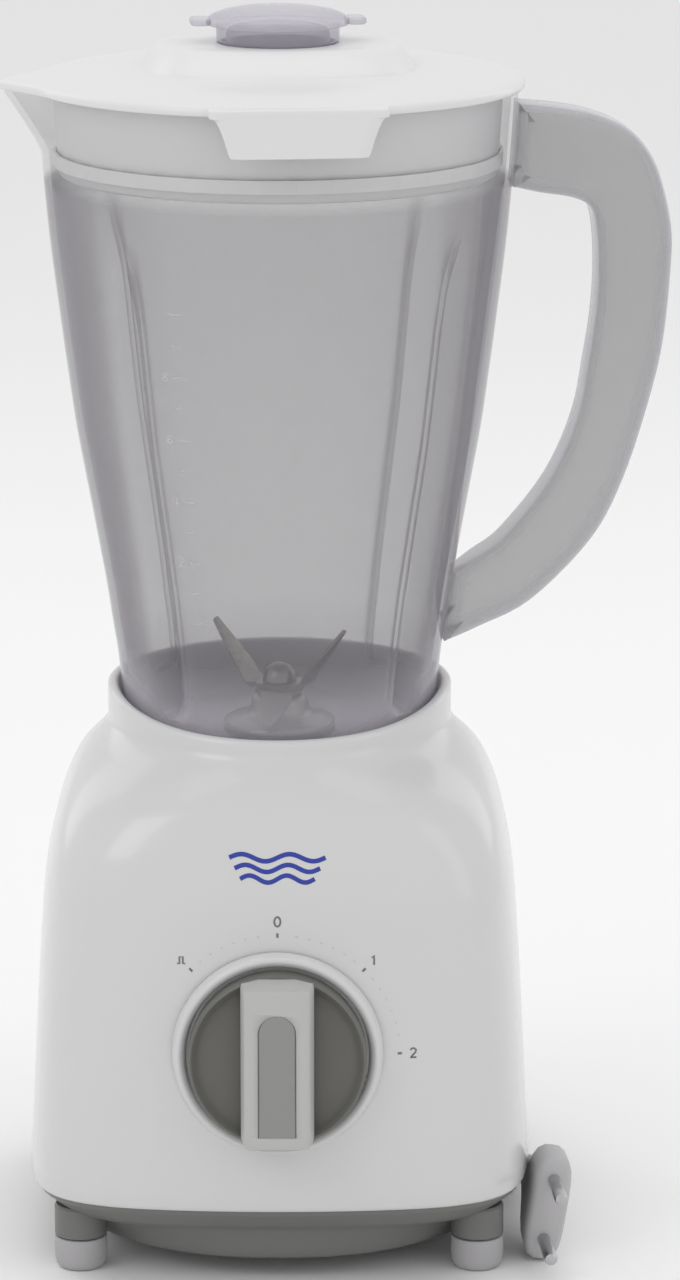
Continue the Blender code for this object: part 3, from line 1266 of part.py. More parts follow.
def cord_routes():
    """Hand-chosen points of the lead from the gland to the coil and of the tail from the coil to the plug."""
    diameter = 2 * CORD_RADIUS
    lie = CORD_RADIUS + GAP
    cx, cy = COIL_CENTRE
    outer_turn = COIL_MIDDLE_RADIUS + CORD_RADIUS
    solid = COIL_MIDDLE_RADIUS + diameter
    clear = math.sqrt(solid**2 - (outer_turn - CORD_RADIUS) ** 2) + 4 * GAP
    start = rear_y(GLAND_X) + GLAND_LENGTH + GAP
    lead = [
        (GLAND_X, start, GLAND_Z), (GLAND_X, start + 0.009, GLAND_Z),
        (GLAND_X + 0.005, start + 0.022, GLAND_Z - 0.012), (GLAND_X + 0.010, start + 0.034, GLAND_Z - 0.023),
        (cx + 0.055, cy - 0.004, lie + 0.0012), (cx + 0.0555, cy + 0.010, lie), (cx + 0.051, cy + 0.024, lie),
        (cx + 0.040, cy + outer_turn - 0.004, lie), (cx + clear, cy + outer_turn, lie),
    ]
    tail_z = lie + 0.0032
    turn = Euler((math.pi / 2, PLUG_ROLL, PLUG_YAW)).to_matrix()
    plug_back, plug_run, plug_bend = (
        Vector(PLUG_FRONT) + turn @ Vector((0, 0, -PLUG_LENGTH - run)) for run in (GAP, 0.006, 0.014)
    )
    side = BASE_WIDTH / 2 - 0.0023
    tail = [
        (cx + clear, cy - outer_turn, tail_z), (cx + clear + 0.016, cy - outer_turn - 0.0008, lie + 0.0008),
        (cx + clear + 0.034, cy - outer_turn - 0.003, lie), (side - 0.0125, cy - 0.048, lie),
        (side - 0.002, cy - 0.070, lie), (side, 0.064, lie), (side, 0.042, lie),
        (side + 0.0003, 0.026, lie + 0.0022),
        plug_bend - Vector((0, 0, 0.0022)), plug_run, plug_back,
    ]
    return lead, tail


def cord(parent):
    lead, tail = cord_routes()
    spacing = 5 * CORD_RADIUS
    tube("cord_lead", [lead[0], *resample(smooth(lead[1:], 8), spacing)], CORD_RADIUS, CORD_GREY, parent)
    tube("cord_tail", [*resample(smooth(tail[:-1], 8), spacing), tail[-1]], CORD_RADIUS, CORD_GREY, parent)
    outer = COIL_MIDDLE_RADIUS + 2 * CORD_RADIUS
    inner = COIL_MIDDLE_RADIUS - 2 * CORD_RADIUS
    edge = CORD_RADIUS * 0.6
    low = GAP
    high = low + 4 * CORD_RADIUS
    profile = [
        (inner + edge, high), (outer - edge, high), (outer, high - edge), (outer, low + edge),
        (outer - edge, low),
        (inner + edge, low), (inner, low + edge), (inner, high - edge),
    ]
    turned("cord_coil", profile, CORD_GREY, parent, (*COIL_CENTRE, 0), closed=True, steps=ROUND)
    gland = [
        (0, GLAND_LENGTH), (CORD_RADIUS + 0.0010, GLAND_LENGTH), (GLAND_RADIUS - 0.0003, 0.004),
        (GLAND_RADIUS + 0.0022, 0.0030), (GLAND_RADIUS + 0.0022, 0.0004 + GAP), (GLAND_RADIUS, 0.0004 + GAP),
        (GLAND_RADIUS, -0.0060), (0, -0.0060),
    ]
    turned(
        "cord_gland", gland, CORD_GREY, parent, (GLAND_X, rear_y(GLAND_X), GLAND_Z), (-math.pi / 2, 0, 0), steps=20
    )


def plug(parent):
    """A slim two-pin plug standing on its narrow side, pins to the front."""
    axis = frame("plug_frame", parent, PLUG_FRONT, (math.pi / 2, PLUG_ROLL, PLUG_YAW))
    half_x = PLUG_THICKNESS / 2
    half_y = PLUG_WIDTH / 2
    sections = ((0, 0.9, 0.94), (0.0015, 1, 1), (0.014, 1, 1), (0.022, 0.9, 0.62), (PLUG_LENGTH, 0.8, 0.3))
    rings = []
    for depth, thick, wide in sections:
        half = (half_x * thick, half_y * wide)
        rings.append([(x, y, -depth) for x, y in rounded_box(*half, min(half) * 0.9, 4)])
    add("plug_body", loft_mesh("plug_body", rings), CORD_GREY, axis)
    for name, side in (("lower", -1), ("upper", 1)):
        pin = [
            (0, PIN_LENGTH), (PIN_RADIUS * 0.6, PIN_LENGTH - 0.0003), (PIN_RADIUS, PIN_LENGTH - 0.0014),
            (PIN_RADIUS, GAP), (0, GAP),
        ]
        turned(f"plug_pin_{name}", pin, BRASS, axis, (0, side * PIN_SPACING / 2, 0), steps=12)


def centre_on_counter(carrier):
    """Moves the carrying empty so that the blender, without its cord, is centred over the origin."""
    bpy.context.view_layer.update()
    graph = bpy.context.evaluated_depsgraph_get()
    places = []
    for thing in PARTS.objects:
        if thing.type != "MESH" or thing.name.startswith(("cord_", "plug_")):
            continue
        solid = thing.evaluated_get(graph)
        places += [solid.matrix_world @ vertex.co for vertex in solid.data.vertices]
    for axis in (0, 1):
        values = [place[axis] for place in places]
        carrier.location[axis] -= (min(values) + max(values)) / 2


def main():
    carrier = frame("blender")
    housing(carrier)
    bottom_cover(carrier)
    for name, x, y in corners():
        foot(name, x, y, carrier)
    knob(carrier)
    motor(carrier)
    rotor(carrier)
    splash_seal(carrier)
    seated = frame("jug_frame", carrier, rotation=(0, 0, JUG_TURN))
    jug(seated)
    blade_unit(seated)
    blades(carrier)
    lid(seated)
    lid_seal(seated)
    measuring_cap(seated)
    cord(carrier)
    plug(carrier)
    centre_on_counter(carrier)
    bpy.context.view_layer.update()


clear_scene()
PARTS = collection("countertop_blender")
CUTTERS = collection("cutters", hidden=True)
main()
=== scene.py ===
"""Looks of the countertop blender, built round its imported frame."""

import logging
import math
from collections.abc import Callable, Iterable, Sequence
from dataclasses import dataclass, field
from enum import Enum
from functools import partial

import bmesh
import bpy
from mathutils import Euler, Matrix, Vector


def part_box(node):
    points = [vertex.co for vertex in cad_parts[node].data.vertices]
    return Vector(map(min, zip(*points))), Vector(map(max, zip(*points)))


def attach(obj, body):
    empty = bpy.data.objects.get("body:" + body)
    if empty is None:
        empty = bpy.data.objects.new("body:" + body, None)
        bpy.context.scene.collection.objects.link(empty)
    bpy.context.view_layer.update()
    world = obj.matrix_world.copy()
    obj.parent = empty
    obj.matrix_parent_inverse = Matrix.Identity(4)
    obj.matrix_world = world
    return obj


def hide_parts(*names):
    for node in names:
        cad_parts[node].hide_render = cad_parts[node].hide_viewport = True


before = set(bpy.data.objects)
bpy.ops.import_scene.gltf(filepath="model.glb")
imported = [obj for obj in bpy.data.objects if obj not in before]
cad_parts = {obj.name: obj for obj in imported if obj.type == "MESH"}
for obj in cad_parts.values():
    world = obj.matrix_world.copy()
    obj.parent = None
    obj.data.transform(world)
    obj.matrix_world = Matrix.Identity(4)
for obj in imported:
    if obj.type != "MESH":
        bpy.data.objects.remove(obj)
log = logging.getLogger("countertop_blender")

Point = tuple[float, float, float]
Pair = tuple[float, float]

SHAFT_LOW, SHAFT_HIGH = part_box("motor_shaft")
# The drive axis on the counter
AXIS = Vector(((SHAFT_LOW.x + SHAFT_HIGH.x) / 2, (SHAFT_LOW.y + SHAFT_HIGH.y) / 2, 0))
JUG_TURN = math.radians(5.3)  # the jug, the lid and the cap stand turned on the base
KNOB_Z = 0.0740
KNOB_FACE_Y = -0.0763
GAP = 0.0003  # air between the cord and what it meets
PRINT = 0.00006  # how far ink stands off its surface
TIP = 0.00002  # radius that closes a turned piece at its axis
BUMP_STRENGTH = 0.6
COAT_ROUGHNESS = 0.08


class Pattern(Enum):
    """What a finish's fine surface looks like."""

    MOULDED = "moulded"
    BRUSHED = "brushed"
    RUBBER = "rubber"
    WOUND = "wound"
    CLEAR = "clear"


FINE_SCALE = {Pattern.MOULDED: 1500, Pattern.BRUSHED: 420, Pattern.RUBBER: 2600, Pattern.CLEAR: 160}


def feed(tree: bpy.types.NodeTree, node: bpy.types.Node, values: dict) -> None:
    """Links a socket to an input of a node, or sets the input, for each name or number in values."""
    for key, value in values.items():
        if isinstance(value, bpy.types.NodeSocket):
            tree.links.new(value, node.inputs[key])
        else:
            node.inputs[key].default_value = value


def add_node(tree: bpy.types.NodeTree, kind: str, values: dict | None = None,
             **settings: object) -> bpy.types.Node:
    """Adds a shader node.

    Args:
        tree: where it goes.
        kind: its type.
        values: a socket or a value for each input given.
        settings: its other properties.

    Returns:
        The node.
    """
    node = tree.nodes.new(kind)
    for key, value in settings.items():
        setattr(node, key, value)
    feed(tree, node, values or {})
    return node


class Textures:
    """Shader node groups, each built once."""

    @staticmethod
    def _new(name: str, values: dict[str, float]) -> tuple[bpy.types.NodeTree, Callable]:
        """An empty group with a vector and a colour input, the named values and three outputs.

        Args:
            name: the group's name.
            values: extra number inputs and their defaults.

        Returns:
            The group, and a function that adds a node to it.
        """
        tree = bpy.data.node_groups.new(name, "ShaderNodeTree")
        face = tree.interface
        face.new_socket("Vector", in_out="INPUT", socket_type="NodeSocketVector")
        face.new_socket("Colour", in_out="INPUT", socket_type="NodeSocketColor")
        for label, value in values.items():
            made = face.new_socket(label, in_out="INPUT", socket_type="NodeSocketFloat")
            made.default_value = value
        face.new_socket("Colour", in_out="OUTPUT", socket_type="NodeSocketColor")
        face.new_socket("Roughness", in_out="OUTPUT", socket_type="NodeSocketFloat")
        face.new_socket("Height", in_out="OUTPUT", socket_type="NodeSocketFloat")
        return tree, partial(add_node, tree)

    @classmethod
    def surface(cls, pattern: Pattern) -> bpy.types.NodeTree:
        """The group for a pattern.

        Args:
            pattern: which fine surface.

        Returns:
            A group giving a colour, a roughness and a height.
        """
        name = f"surface_{pattern.value}"
        if name in bpy.data.node_groups:
            return bpy.data.node_groups[name]
        values = {"Roughness": 0.4, "Scale": 1.0, "Variation": 0.05}
        tree, add = cls._new(name, values)
        given = add("NodeGroupInput")

        def math_node(operation: str, *terms: object) -> bpy.types.NodeSocket:
            """The result of a math node on the terms."""
            return add("ShaderNodeMath", dict(enumerate(terms)), operation=operation).outputs[0]

        vector = given.outputs["Vector"]
        if pattern is Pattern.BRUSHED:
            vector = add("ShaderNodeMapping", {"Vector": vector, "Scale": (1, 14, 1)}).outputs[0]
        if pattern is Pattern.WOUND:
            wave = add("ShaderNodeTexWave", {"Vector": vector, "Scale": 260, "Distortion": 0.6},
                       bands_direction="DIAGONAL")
            fine = wave.outputs["Fac"]
        else:
            sized = math_node("MULTIPLY", given.outputs["Scale"], FINE_SCALE[pattern])
            noise = add("ShaderNodeTexNoise", {"Vector": vector, "Scale": sized, "Detail": 3})
            fine = noise.outputs["Fac"]
        broad = add("ShaderNodeTexNoise", {"Vector": given.outputs["Vector"], "Scale": 22, "Detail": 4})
        both = add("ShaderNodeMix", {0: 0.35, 2: broad.outputs["Fac"], 3: fine}, data_type="FLOAT")
        swing = math_node("MULTIPLY", math_node("ADD", both.outputs[0], -0.5), given.outputs["Variation"])
        gain = math_node("ADD", swing, 1.0)
        tint = add("ShaderNodeVectorMath", {0: given.outputs["Colour"], 3: gain}, operation="SCALE")
        rough = math_node("MULTIPLY", given.outputs["Roughness"], gain)
        add("NodeGroupOutput", {"Colour": tint.outputs[0], "Roughness": rough, "Height": fine})
        return tree


@dataclass(frozen=True)
class Finish:
    """A material and the fine surface it has."""

    name: str
    colour: tuple[float, float, float]
    roughness: float = 0.4
    metallic: float = 0.0
    pattern: Pattern = Pattern.MOULDED
    variation: float = 0.06
    scale: float = 1.0
    relief: float = 0.00002
    coat: float = 0.0
    ior: float = 1.47
    alpha: float = 1.0
    edge_alpha: float = 1.0
    edge_colour: tuple[float, float, float] = (0.3, 0.3, 0.3)
    edge_power: float = 2.0
    clear_above: float = 1.0
    # Below this height the clear plastic turns pale and denser: a painted reflection of a bright bottom.
    painted_reflection_below: float = -1.0

    def material(self) -> bpy.types.Material:
        """The material of this finish, built on first use.

        Returns:
            A node material that works without any picture.
        """
        label = f"finish_{self.name}"
        if label in bpy.data.materials:
            return bpy.data.materials[label]
        made = bpy.data.materials.new(label)
        made.use_nodes = True
        made.diffuse_color = (*self.colour, 1)
        tree = made.node_tree
        place = add_node(tree, "ShaderNodeTexCoord").outputs["Object"]
        looks = {"Vector": place, "Colour": (*self.colour, 1), "Roughness": self.roughness,
                 "Scale": self.scale, "Variation": self.variation}
        group = add_node(tree, "ShaderNodeGroup", looks, node_tree=Textures.surface(self.pattern))
        relief = {"Strength": BUMP_STRENGTH, "Distance": self.relief, "Height": group.outputs["Height"]}
        feed(tree, tree.nodes["Principled BSDF"], {
            "Base Color": group.outputs["Colour"], "Roughness": group.outputs["Roughness"],
            "Normal": add_node(tree, "ShaderNodeBump", relief).outputs["Normal"], "Metallic": self.metallic,
            "Coat Weight": self.coat, "Coat Roughness": COAT_ROUGHNESS, "IOR": self.ior,
        })
        if self.alpha < 1:
            self._see_through(tree, group, place)
        return made

    def _see_through(self, tree: bpy.types.NodeTree, group: bpy.types.Node,
                     place: bpy.types.NodeSocket) -> None:
        """Makes the plastic clear where it is seen square on, and denser and tinted towards its edges.

        Args:
            tree: the material's nodes.
            group: the surface group, which takes the tint.
            place: gives the place on the object.
        """
        add = partial(add_node, tree)
        facing = add("ShaderNodeLayerWeight", {"Blend": 0.5}).outputs["Facing"]
        curve = add("ShaderNodeMath", {0: facing, 1: self.edge_power}, operation="POWER").outputs[0]
        colours = {0: curve, 6: (*self.colour, 1), 7: (*self.edge_colour, 1)}
        tint = add("ShaderNodeMix", colours, data_type="RGBA").outputs[2]
        dense = add("ShaderNodeMapRange", {"Value": curve, "To Min": self.alpha, "To Max": self.edge_alpha})
        height = add("ShaderNodeSeparateXYZ", {0: place}).outputs["Z"]
        # Painted reflection: low on the jug the tint turns pale violet and the plastic denser. This stands in
        # for the white that the bright bottom reflects, and bottom holds how much of it there is.
        bottom = 0.0
        if self.painted_reflection_below > 0:
            reflection_ramp = {"Value": height, "From Min": self.painted_reflection_below,
                    "From Max": self.painted_reflection_below - 0.030, "To Max": 0.9}
            bottom = add("ShaderNodeMapRange", reflection_ramp).outputs[0]
            colours = {0: bottom, 6: tint, 7: (0.74, 0.71, 0.78, 1)}
            tint = add("ShaderNodeMix", colours, data_type="RGBA").outputs[2]
        fade = add("ShaderNodeMapRange", {"Value": height, "From Min": self.clear_above - 0.003,
                                          "From Max": self.clear_above, "To Min": 1.0, "To Max": 0.30})
        product = add("ShaderNodeMath", {0: dense.outputs[0], 1: fade.outputs[0]}, operation="MULTIPLY")
        # thick adds the painted reflection's share to the alpha.
        thick = add("ShaderNodeMath", {0: bottom, 1: 0.20, 2: product.outputs[0]}, operation="MULTIPLY_ADD")
        feed(tree, group, {"Colour": tint})
        feed(tree, tree.nodes["Principled BSDF"], {"Alpha": thick.outputs[0]})


WHITE = Finish("gloss_white_plastic", (0.63, 0.63, 0.632), 0.24, variation=0.03, relief=0.000008, coat=0.35)
LID_WHITE = Finish("lid_white_plastic", (0.73, 0.725, 0.73), 0.34, variation=0.03, relief=0.000010, coat=0.2)
DARK_GREY = Finish("dark_grey_plastic", (0.165, 0.165, 0.160), 0.42, variation=0.12, relief=0.00003)
KNOB_GREY = Finish("knob_side_plastic", (0.135, 0.133, 0.122), 0.36, variation=0.12, relief=0.00002)
LIGHT_GREY = Finish("light_grey_plastic", (0.48, 0.48, 0.47), 0.40, variation=0.08, relief=0.00002)
MID_GREY = Finish("mid_grey_plastic", (0.27, 0.27, 0.262), 0.46, variation=0.1, relief=0.00003)
# Its pale tint low on the jug is a painted reflection.
CLEAR = Finish("smoky_clear_plastic", (0.29, 0.275, 0.295), 0.05, pattern=Pattern.CLEAR, variation=0.04,
               relief=0.000002, alpha=0.23, edge_alpha=0.88, edge_colour=(0.13, 0.115, 0.15),
               edge_power=2.1, clear_above=0.3255, painted_reflection_below=0.186)
# The handle's edge colour is lighter than its body: a painted sheen for the light caught along its rolled
# edges.
PAINTED_SHEEN_HANDLE_CLEAR = Finish("thick_clear_plastic_painted_edge_sheen", (0.33, 0.325, 0.335), 0.16, pattern=Pattern.CLEAR,
                      variation=0.06, relief=0.00002, coat=0.3, alpha=0.50, edge_alpha=0.80,
                      edge_colour=(0.62, 0.59, 0.67), edge_power=1.6)
CAP_CLEAR = Finish("cap_clear_plastic", (0.46, 0.44, 0.50), 0.06, pattern=Pattern.CLEAR, variation=0.04,
                   relief=0.00001, coat=0.3, alpha=0.30, edge_alpha=0.80, edge_colour=(0.40, 0.36, 0.48),
                   edge_power=2.0)
RUBBER = Finish("grey_rubber", (0.42, 0.41, 0.42), 0.75, pattern=Pattern.RUBBER, variation=0.15,
                relief=0.00004)
BLACK_RUBBER = Finish("black_rubber", (0.03, 0.03, 0.03), 0.7, pattern=Pattern.RUBBER, variation=0.2,
                      relief=0.00004)
STEEL = Finish("ground_steel", (0.27, 0.265, 0.245), 0.28, 1.0, Pattern.BRUSHED, 0.25, relief=0.00001)
PLATED = Finish("plated_steel", (0.50, 0.50, 0.51), 0.34, 1.0, Pattern.BRUSHED, 0.3, relief=0.00001)
LAMINATION = Finish("stacked_steel", (0.24, 0.24, 0.25), 0.5, 0.9, Pattern.BRUSHED, 0.4, relief=0.00005)
COPPER = Finish("enamelled_copper", (0.58, 0.24, 0.10), 0.35, 0.9, Pattern.WOUND, 0.5, relief=0.0002)
BRASS = Finish("plain_brass", (0.70, 0.53, 0.26), 0.3, 1.0, Pattern.BRUSHED, 0.2, relief=0.00001)
CARBON = Finish("pressed_carbon", (0.03, 0.03, 0.03), 0.65, variation=0.3, relief=0.00005)
NYLON = Finish("black_nylon", (0.035, 0.035, 0.036), 0.5, variation=0.2, relief=0.00003)
PVC = Finish("grey_pvc", (0.47, 0.46, 0.47), 0.5, pattern=Pattern.RUBBER, variation=0.08, relief=0.00003)
BLUE_INK = Finish("blue_ink", (0.022, 0.045, 0.33), 0.4, variation=0.1)
GREY_INK = Finish("grey_ink", (0.16, 0.16, 0.17), 0.5, variation=0.1)
PALE_INK = Finish("pale_ink", (0.50, 0.49, 0.51), 0.5, variation=0.1)


# Mesh tools


def add_object(name: str, data: bpy.types.ID) -> bpy.types.Object:
    """A new object in the scene's collection."""
    made = bpy.data.objects.new(name, data)
    bpy.context.scene.collection.objects.link(made)
    return made


def polar(radius: float, angle: float, z: float) -> Point:
    """A point at a distance and a direction from local Z."""
    return radius * math.cos(angle), radius * math.sin(angle), z


def turns(sides: int) -> list[float]:
    """Even directions round a full turn."""
    return [2 * math.pi * i / sides for i in range(sides)]


def at_height(outline: Sequence[Pair], z: float) -> list[Point]:
    """A flat outline as a level ring."""
    return [(x, y, z) for x, y in outline]


def finish_mesh(name: str, bm: bmesh.types.BMesh, finish: Finish, sharp: float = 32) -> bpy.types.Object:
    """Turns a bmesh into a smooth-shaded object with a material.

    Args:
        name: the object's name.
        bm: what it is made of; it is freed.
        finish: the material.
        sharp: edges bent more than this, in degrees, stay sharp.

    Returns:
        The new object.
    """
    bmesh.ops.recalc_face_normals(bm, faces=bm.faces)
    mesh = bpy.data.meshes.new(name)
    bm.to_mesh(mesh)
    bm.free()
    mesh.shade_smooth()
    mesh.set_sharp_from_angle(angle=math.radians(sharp))
    mesh.materials.append(finish.material())
    return add_object(name, mesh)


def loft(name: str, rings: Sequence[Sequence[Point]], finish: Finish, closed: bool = False,
         sharp: float = 32) -> bpy.types.Object:
    """Skins rings of equal length.

    Args:
        name: the object's name.
        rings: closed rings of points.
        finish: the material.
        closed: whether the last ring runs back into the first; else both ends are capped.
        sharp: edges bent more than this, in degrees, stay sharp.

    Returns:
        The new object.
    """
    bm = bmesh.new()
    rows = [[bm.verts.new(place) for place in row] for row in rings]
    pairs = list(zip(rows, rows[1:]))
    if closed:
        pairs.append((rows[-1], rows[0]))
    for lower, upper in pairs:
        for i, corner in enumerate(lower):
            after = (i + 1) % len(lower)
            bm.faces.new((corner, lower[after], upper[after], upper[i]))
    if not closed:
        bm.faces.new(rows[0])
        bm.faces.new(rows[-1])
    return finish_mesh(name, bm, finish, sharp)


def turned(name: str, profile: Sequence[Pair], finish: Finish, sides: int = 64, closed: bool = True,
           sharp: float = 32) -> bpy.types.Object:
    """A turned piece from (radius, height) pairs round local Z.

    Args:
        name: the object's name.
        profile: the outline, outer side first; radii of 0 only at an open profile's ends.
        finish: the material.
        sides: how many sides.
        closed: whether the outline runs back into its start.
        sharp: edges bent more than this, in degrees, stay sharp.

    Returns:
        The new object.
    """
    rings = [[polar(max(r, TIP), a, z) for a in turns(sides)] for r, z in profile]
    return loft(name, rings, finish, closed, sharp)


def rounded(profile: Sequence[Pair], radius: float, steps: int = 3) -> list[Pair]:
    """The same closed outline with its corners rounded.

    Args:
        profile: corners of a closed outline.
        radius: how far from a corner its curve starts, less where an edge is short.
        steps: segments in each curve.

    Returns:
        The rounded outline.
    """
    made = []
    count = len(profile)
    for i, corner in enumerate(profile):
        here = Vector(corner)
        before = Vector(profile[i - 1]) - here
        after = Vector(profile[(i + 1) % count]) - here
        reach = min(radius, before.length * 0.45, after.length * 0.45)
        start = here + before.normalized() * reach
        end = here + after.normalized() * reach
        for step in range(steps + 1):
            t = step / steps
            place = start * (1 - t) ** 2 + here * 2 * t * (1 - t) + end * t**2
            made.append((place.x, place.y))
    return made


def smooth_line(points: Sequence[Sequence[float]], steps: int) -> list[Vector]:
    """A Catmull-Rom curve through the points.

    Args:
        points: what it passes through.
        steps: segments between two points.

    Returns:
        Points along the curve.
    """
    given = [Vector(p) for p in points]
    chain = [2 * given[0] - given[1], *given, 2 * given[-1] - given[-2]]
    made = []
    for a, b, c, d in zip(chain, chain[1:], chain[2:], chain[3:]):
        for step in range(steps):
            t = step / steps
            made.append(0.5 * (2 * b + (c - a) * t + (2 * a - 5 * b + 4 * c - d) * t**2
                               + (3 * b - a - 3 * c + d) * t**3))
    made.append(given[-1])
    return made


def interpolate(table: Sequence[Pair], at: float) -> float:
    """A value between the pairs of a table, eased so that the curve has no corners.

    Args:
        table: (position, value) pairs in rising order.
        at: where to read it.

    Returns:
        The value there.
    """
    def slope(i: int, j: int) -> float:
        """The rise between two pairs."""
        return (table[j][1] - table[i][1]) / (table[j][0] - table[i][0])

    if at <= table[0][0]:
        return table[0][1]
    last = len(table) - 1
    for i in range(last):
        (x0, y0), (x1, y1) = table[i], table[i + 1]
        if at <= x1:
            before, after = slope(max(i - 1, 0), i + 1), slope(i, min(i + 2, last))
            t = (at - x0) / (x1 - x0)
            h = x1 - x0
            return ((2 * t**3 - 3 * t**2 + 1) * y0 + (t**3 - 2 * t**2 + t) * h * before
                    + (3 * t**2 - 2 * t**3) * y1 + (t**3 - t**2) * h * after)
    return table[-1][1]


def place(made: bpy.types.Object, body: str, replaces: Iterable[str] = (), at: Sequence[float] = (0, 0, 0),
          turn: Sequence[float] = (0, 0, 0), slot: str | None = None) -> bpy.types.Object:
    """Puts a piece round the drive axis and lets it ride a body.

    Args:
        made: the piece.
        body: the CAD body it moves with.
        replaces: CAD nodes that it stands for.
        at: its origin, from the foot of the drive axis.
        turn: its rotation.
        slot: the record's material slot; not used.

    Returns:
        The piece.
    """
    made.data.transform(Matrix.LocRotScale(AXIS + Vector(at), Euler(turn), None))
    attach(made, body)
    for node in replaces:
        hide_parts(node)
    log.info("%s rides %s", made.name, body)
    return made


def plate(name: str, outline: Sequence[Pair], thickness: float, finish: Finish, rounding: float,
          holes: Sequence[Sequence[Pair]] = ()) -> bpy.types.Object:
    """A flat outline in local X and Y, thickened evenly either side of z = 0, with rolled edges.

    Args:
        name: the object's name.
        outline: the closed outline.
        thickness: along local Z.
        finish: the material.
        rounding: how far its edges are rolled.
        holes: more closed outlines, cut out.

    Returns:
        The new object, a mesh.
    """
    curve = bpy.data.curves.new(name, "CURVE")
    curve.dimensions = "2D"
    curve.fill_mode = "BOTH"
    curve.extrude = thickness / 2 - rounding
    curve.bevel_depth = rounding
    curve.bevel_resolution = 4
    curve.offset = -rounding
    for line in (outline, *holes):
        spline = curve.splines.new("POLY")
        spline.points.add(len(line) - 1)
        spline.use_cyclic_u = True
        for point, (x, y) in zip(spline.points, line):
            point.co = (x, y, 0, 1)
    source = add_object(name, curve)
    bpy.context.view_layer.update()
    mesh = bpy.data.meshes.new_from_object(source.evaluated_get(bpy.context.evaluated_depsgraph_get()))
    bpy.data.objects.remove(source)
    bpy.data.curves.remove(curve)
    bm = bmesh.new()
    bm.from_mesh(mesh)
    bpy.data.meshes.remove(mesh)
    bmesh.ops.remove_doubles(bm, verts=bm.verts, dist=0.00001)
    return finish_mesh(name, bm, finish)


def ring_outline(half_x: float, half_y: float, power: float, sides: int = 96) -> list[Pair]:
    """A closed superellipse.

    Args:
        half_x: its reach along X.
        half_y: its reach along Y.
        power: 2 is an ellipse, more is squarer.
        sides: how many points.

    Returns:
        Its points.
    """
    made = []
    for angle in turns(sides):
        c, s = math.cos(angle), math.sin(angle)
        reach = (abs(c / half_x) ** power + abs(s / half_y) ** power) ** (-1 / power)
        made.append((reach * c, reach * s))
    return made


def ribbon(bm: bmesh.types.BMesh, points: Sequence[Pair], width: float,
           onto: Callable[[float, float], Point]) -> None:
    """Adds a printed stroke.

    Args:
        bm: what it is added to.
        points: the line it follows, on the flattened surface.
        width: how wide it is.
        onto: gives the place in space of a point on the flattened surface.
    """
    line = [Vector(p) for p in points]
    rows = []
    for i, spot in enumerate(line):
        along = (line[min(i + 1, len(line) - 1)] - line[max(i - 1, 0)]).normalized()
        side = Vector((-along.y, along.x)) * width / 2
        rows.append([bm.verts.new(onto(*(spot + side * k))) for k in (-1, 1)])
    for (a, b), (c, d) in zip(rows, rows[1:]):
        bm.faces.new((a, b, d, c))


# Studio


@dataclass
class Studio:
    """Camera, lights, floor and world."""

    camera_from_axis: Point = (0.01845, -1.5725, 0.5567)
    camera_pitch: float = 13.4
    lens: float = 149.06
    sensor: float = 36
    far: float = 20
    aim: Point = (0, 0, 0.18)
    world_strength: float = 0.82
    floor_half: float = 6
    floor_back: float = 2.0
    lights: tuple[tuple[str, Point, Pair, float], ...] = (
        ("key", (-0.95, -0.85, 1.15), (0.6, 0.8), 2.6),
        ("fill", (1.1, -0.6, 0.8), (0.4, 1.1), 0.9),
        ("top", (0.0, 0.1, 1.6), (1.2, 1.2), 3.0),
        ("back_left", (-1.0, 0.9, 0.8), (0.5, 1.3), 1.4),
        ("back_right", (1.0, 0.9, 0.8), (0.5, 1.3), 1.4),
    )

    def camera(self) -> None:
        """Sets the camera at the viewing angle."""
        data = bpy.data.cameras.new("camera")
        data.lens = self.lens
        data.sensor_width = self.sensor
        data.clip_end = self.far
        made = add_object("camera", data)
        made.location = AXIS + Vector(self.camera_from_axis)
        made.rotation_euler = (math.radians(90 - self.camera_pitch), 0, 0)
        bpy.context.scene.camera = made

    def light(self) -> None:
        """Adds the soft lights and a pale world."""
        for name, spot, size, power in self.lights:
            data = bpy.data.lights.new(name, "AREA")
            data.shape = "RECTANGLE"
            data.size, data.size_y = size
            data.energy = power
            made = add_object(name, data)
            made.location = AXIS + Vector(spot)
            view = AXIS + Vector(self.aim) - made.location
            made.rotation_euler = view.to_track_quat("-Z", "Y").to_euler()
        world = bpy.data.worlds.new("studio")
        bpy.context.scene.world = world
        world.use_nodes = True
        background = world.node_tree.nodes["Background"]
        feed(world.node_tree, background, {"Color": (1, 1, 1, 1), "Strength": self.world_strength})
        bpy.context.scene.view_settings.view_transform = "Standard"

    def floor(self) -> None:
        """Lays a wide pale floor."""
        bm = bmesh.new()
        bmesh.ops.create_grid(bm, x_segments=40, y_segments=40, size=self.floor_half)
        finish = Finish("studio_floor", (0.93, 0.93, 0.93), 0.6, variation=0.01, relief=0.000005)
        made = finish_mesh("studio_floor", bm, finish)
        made.location = (0, self.floor_back, 0)


# Cord


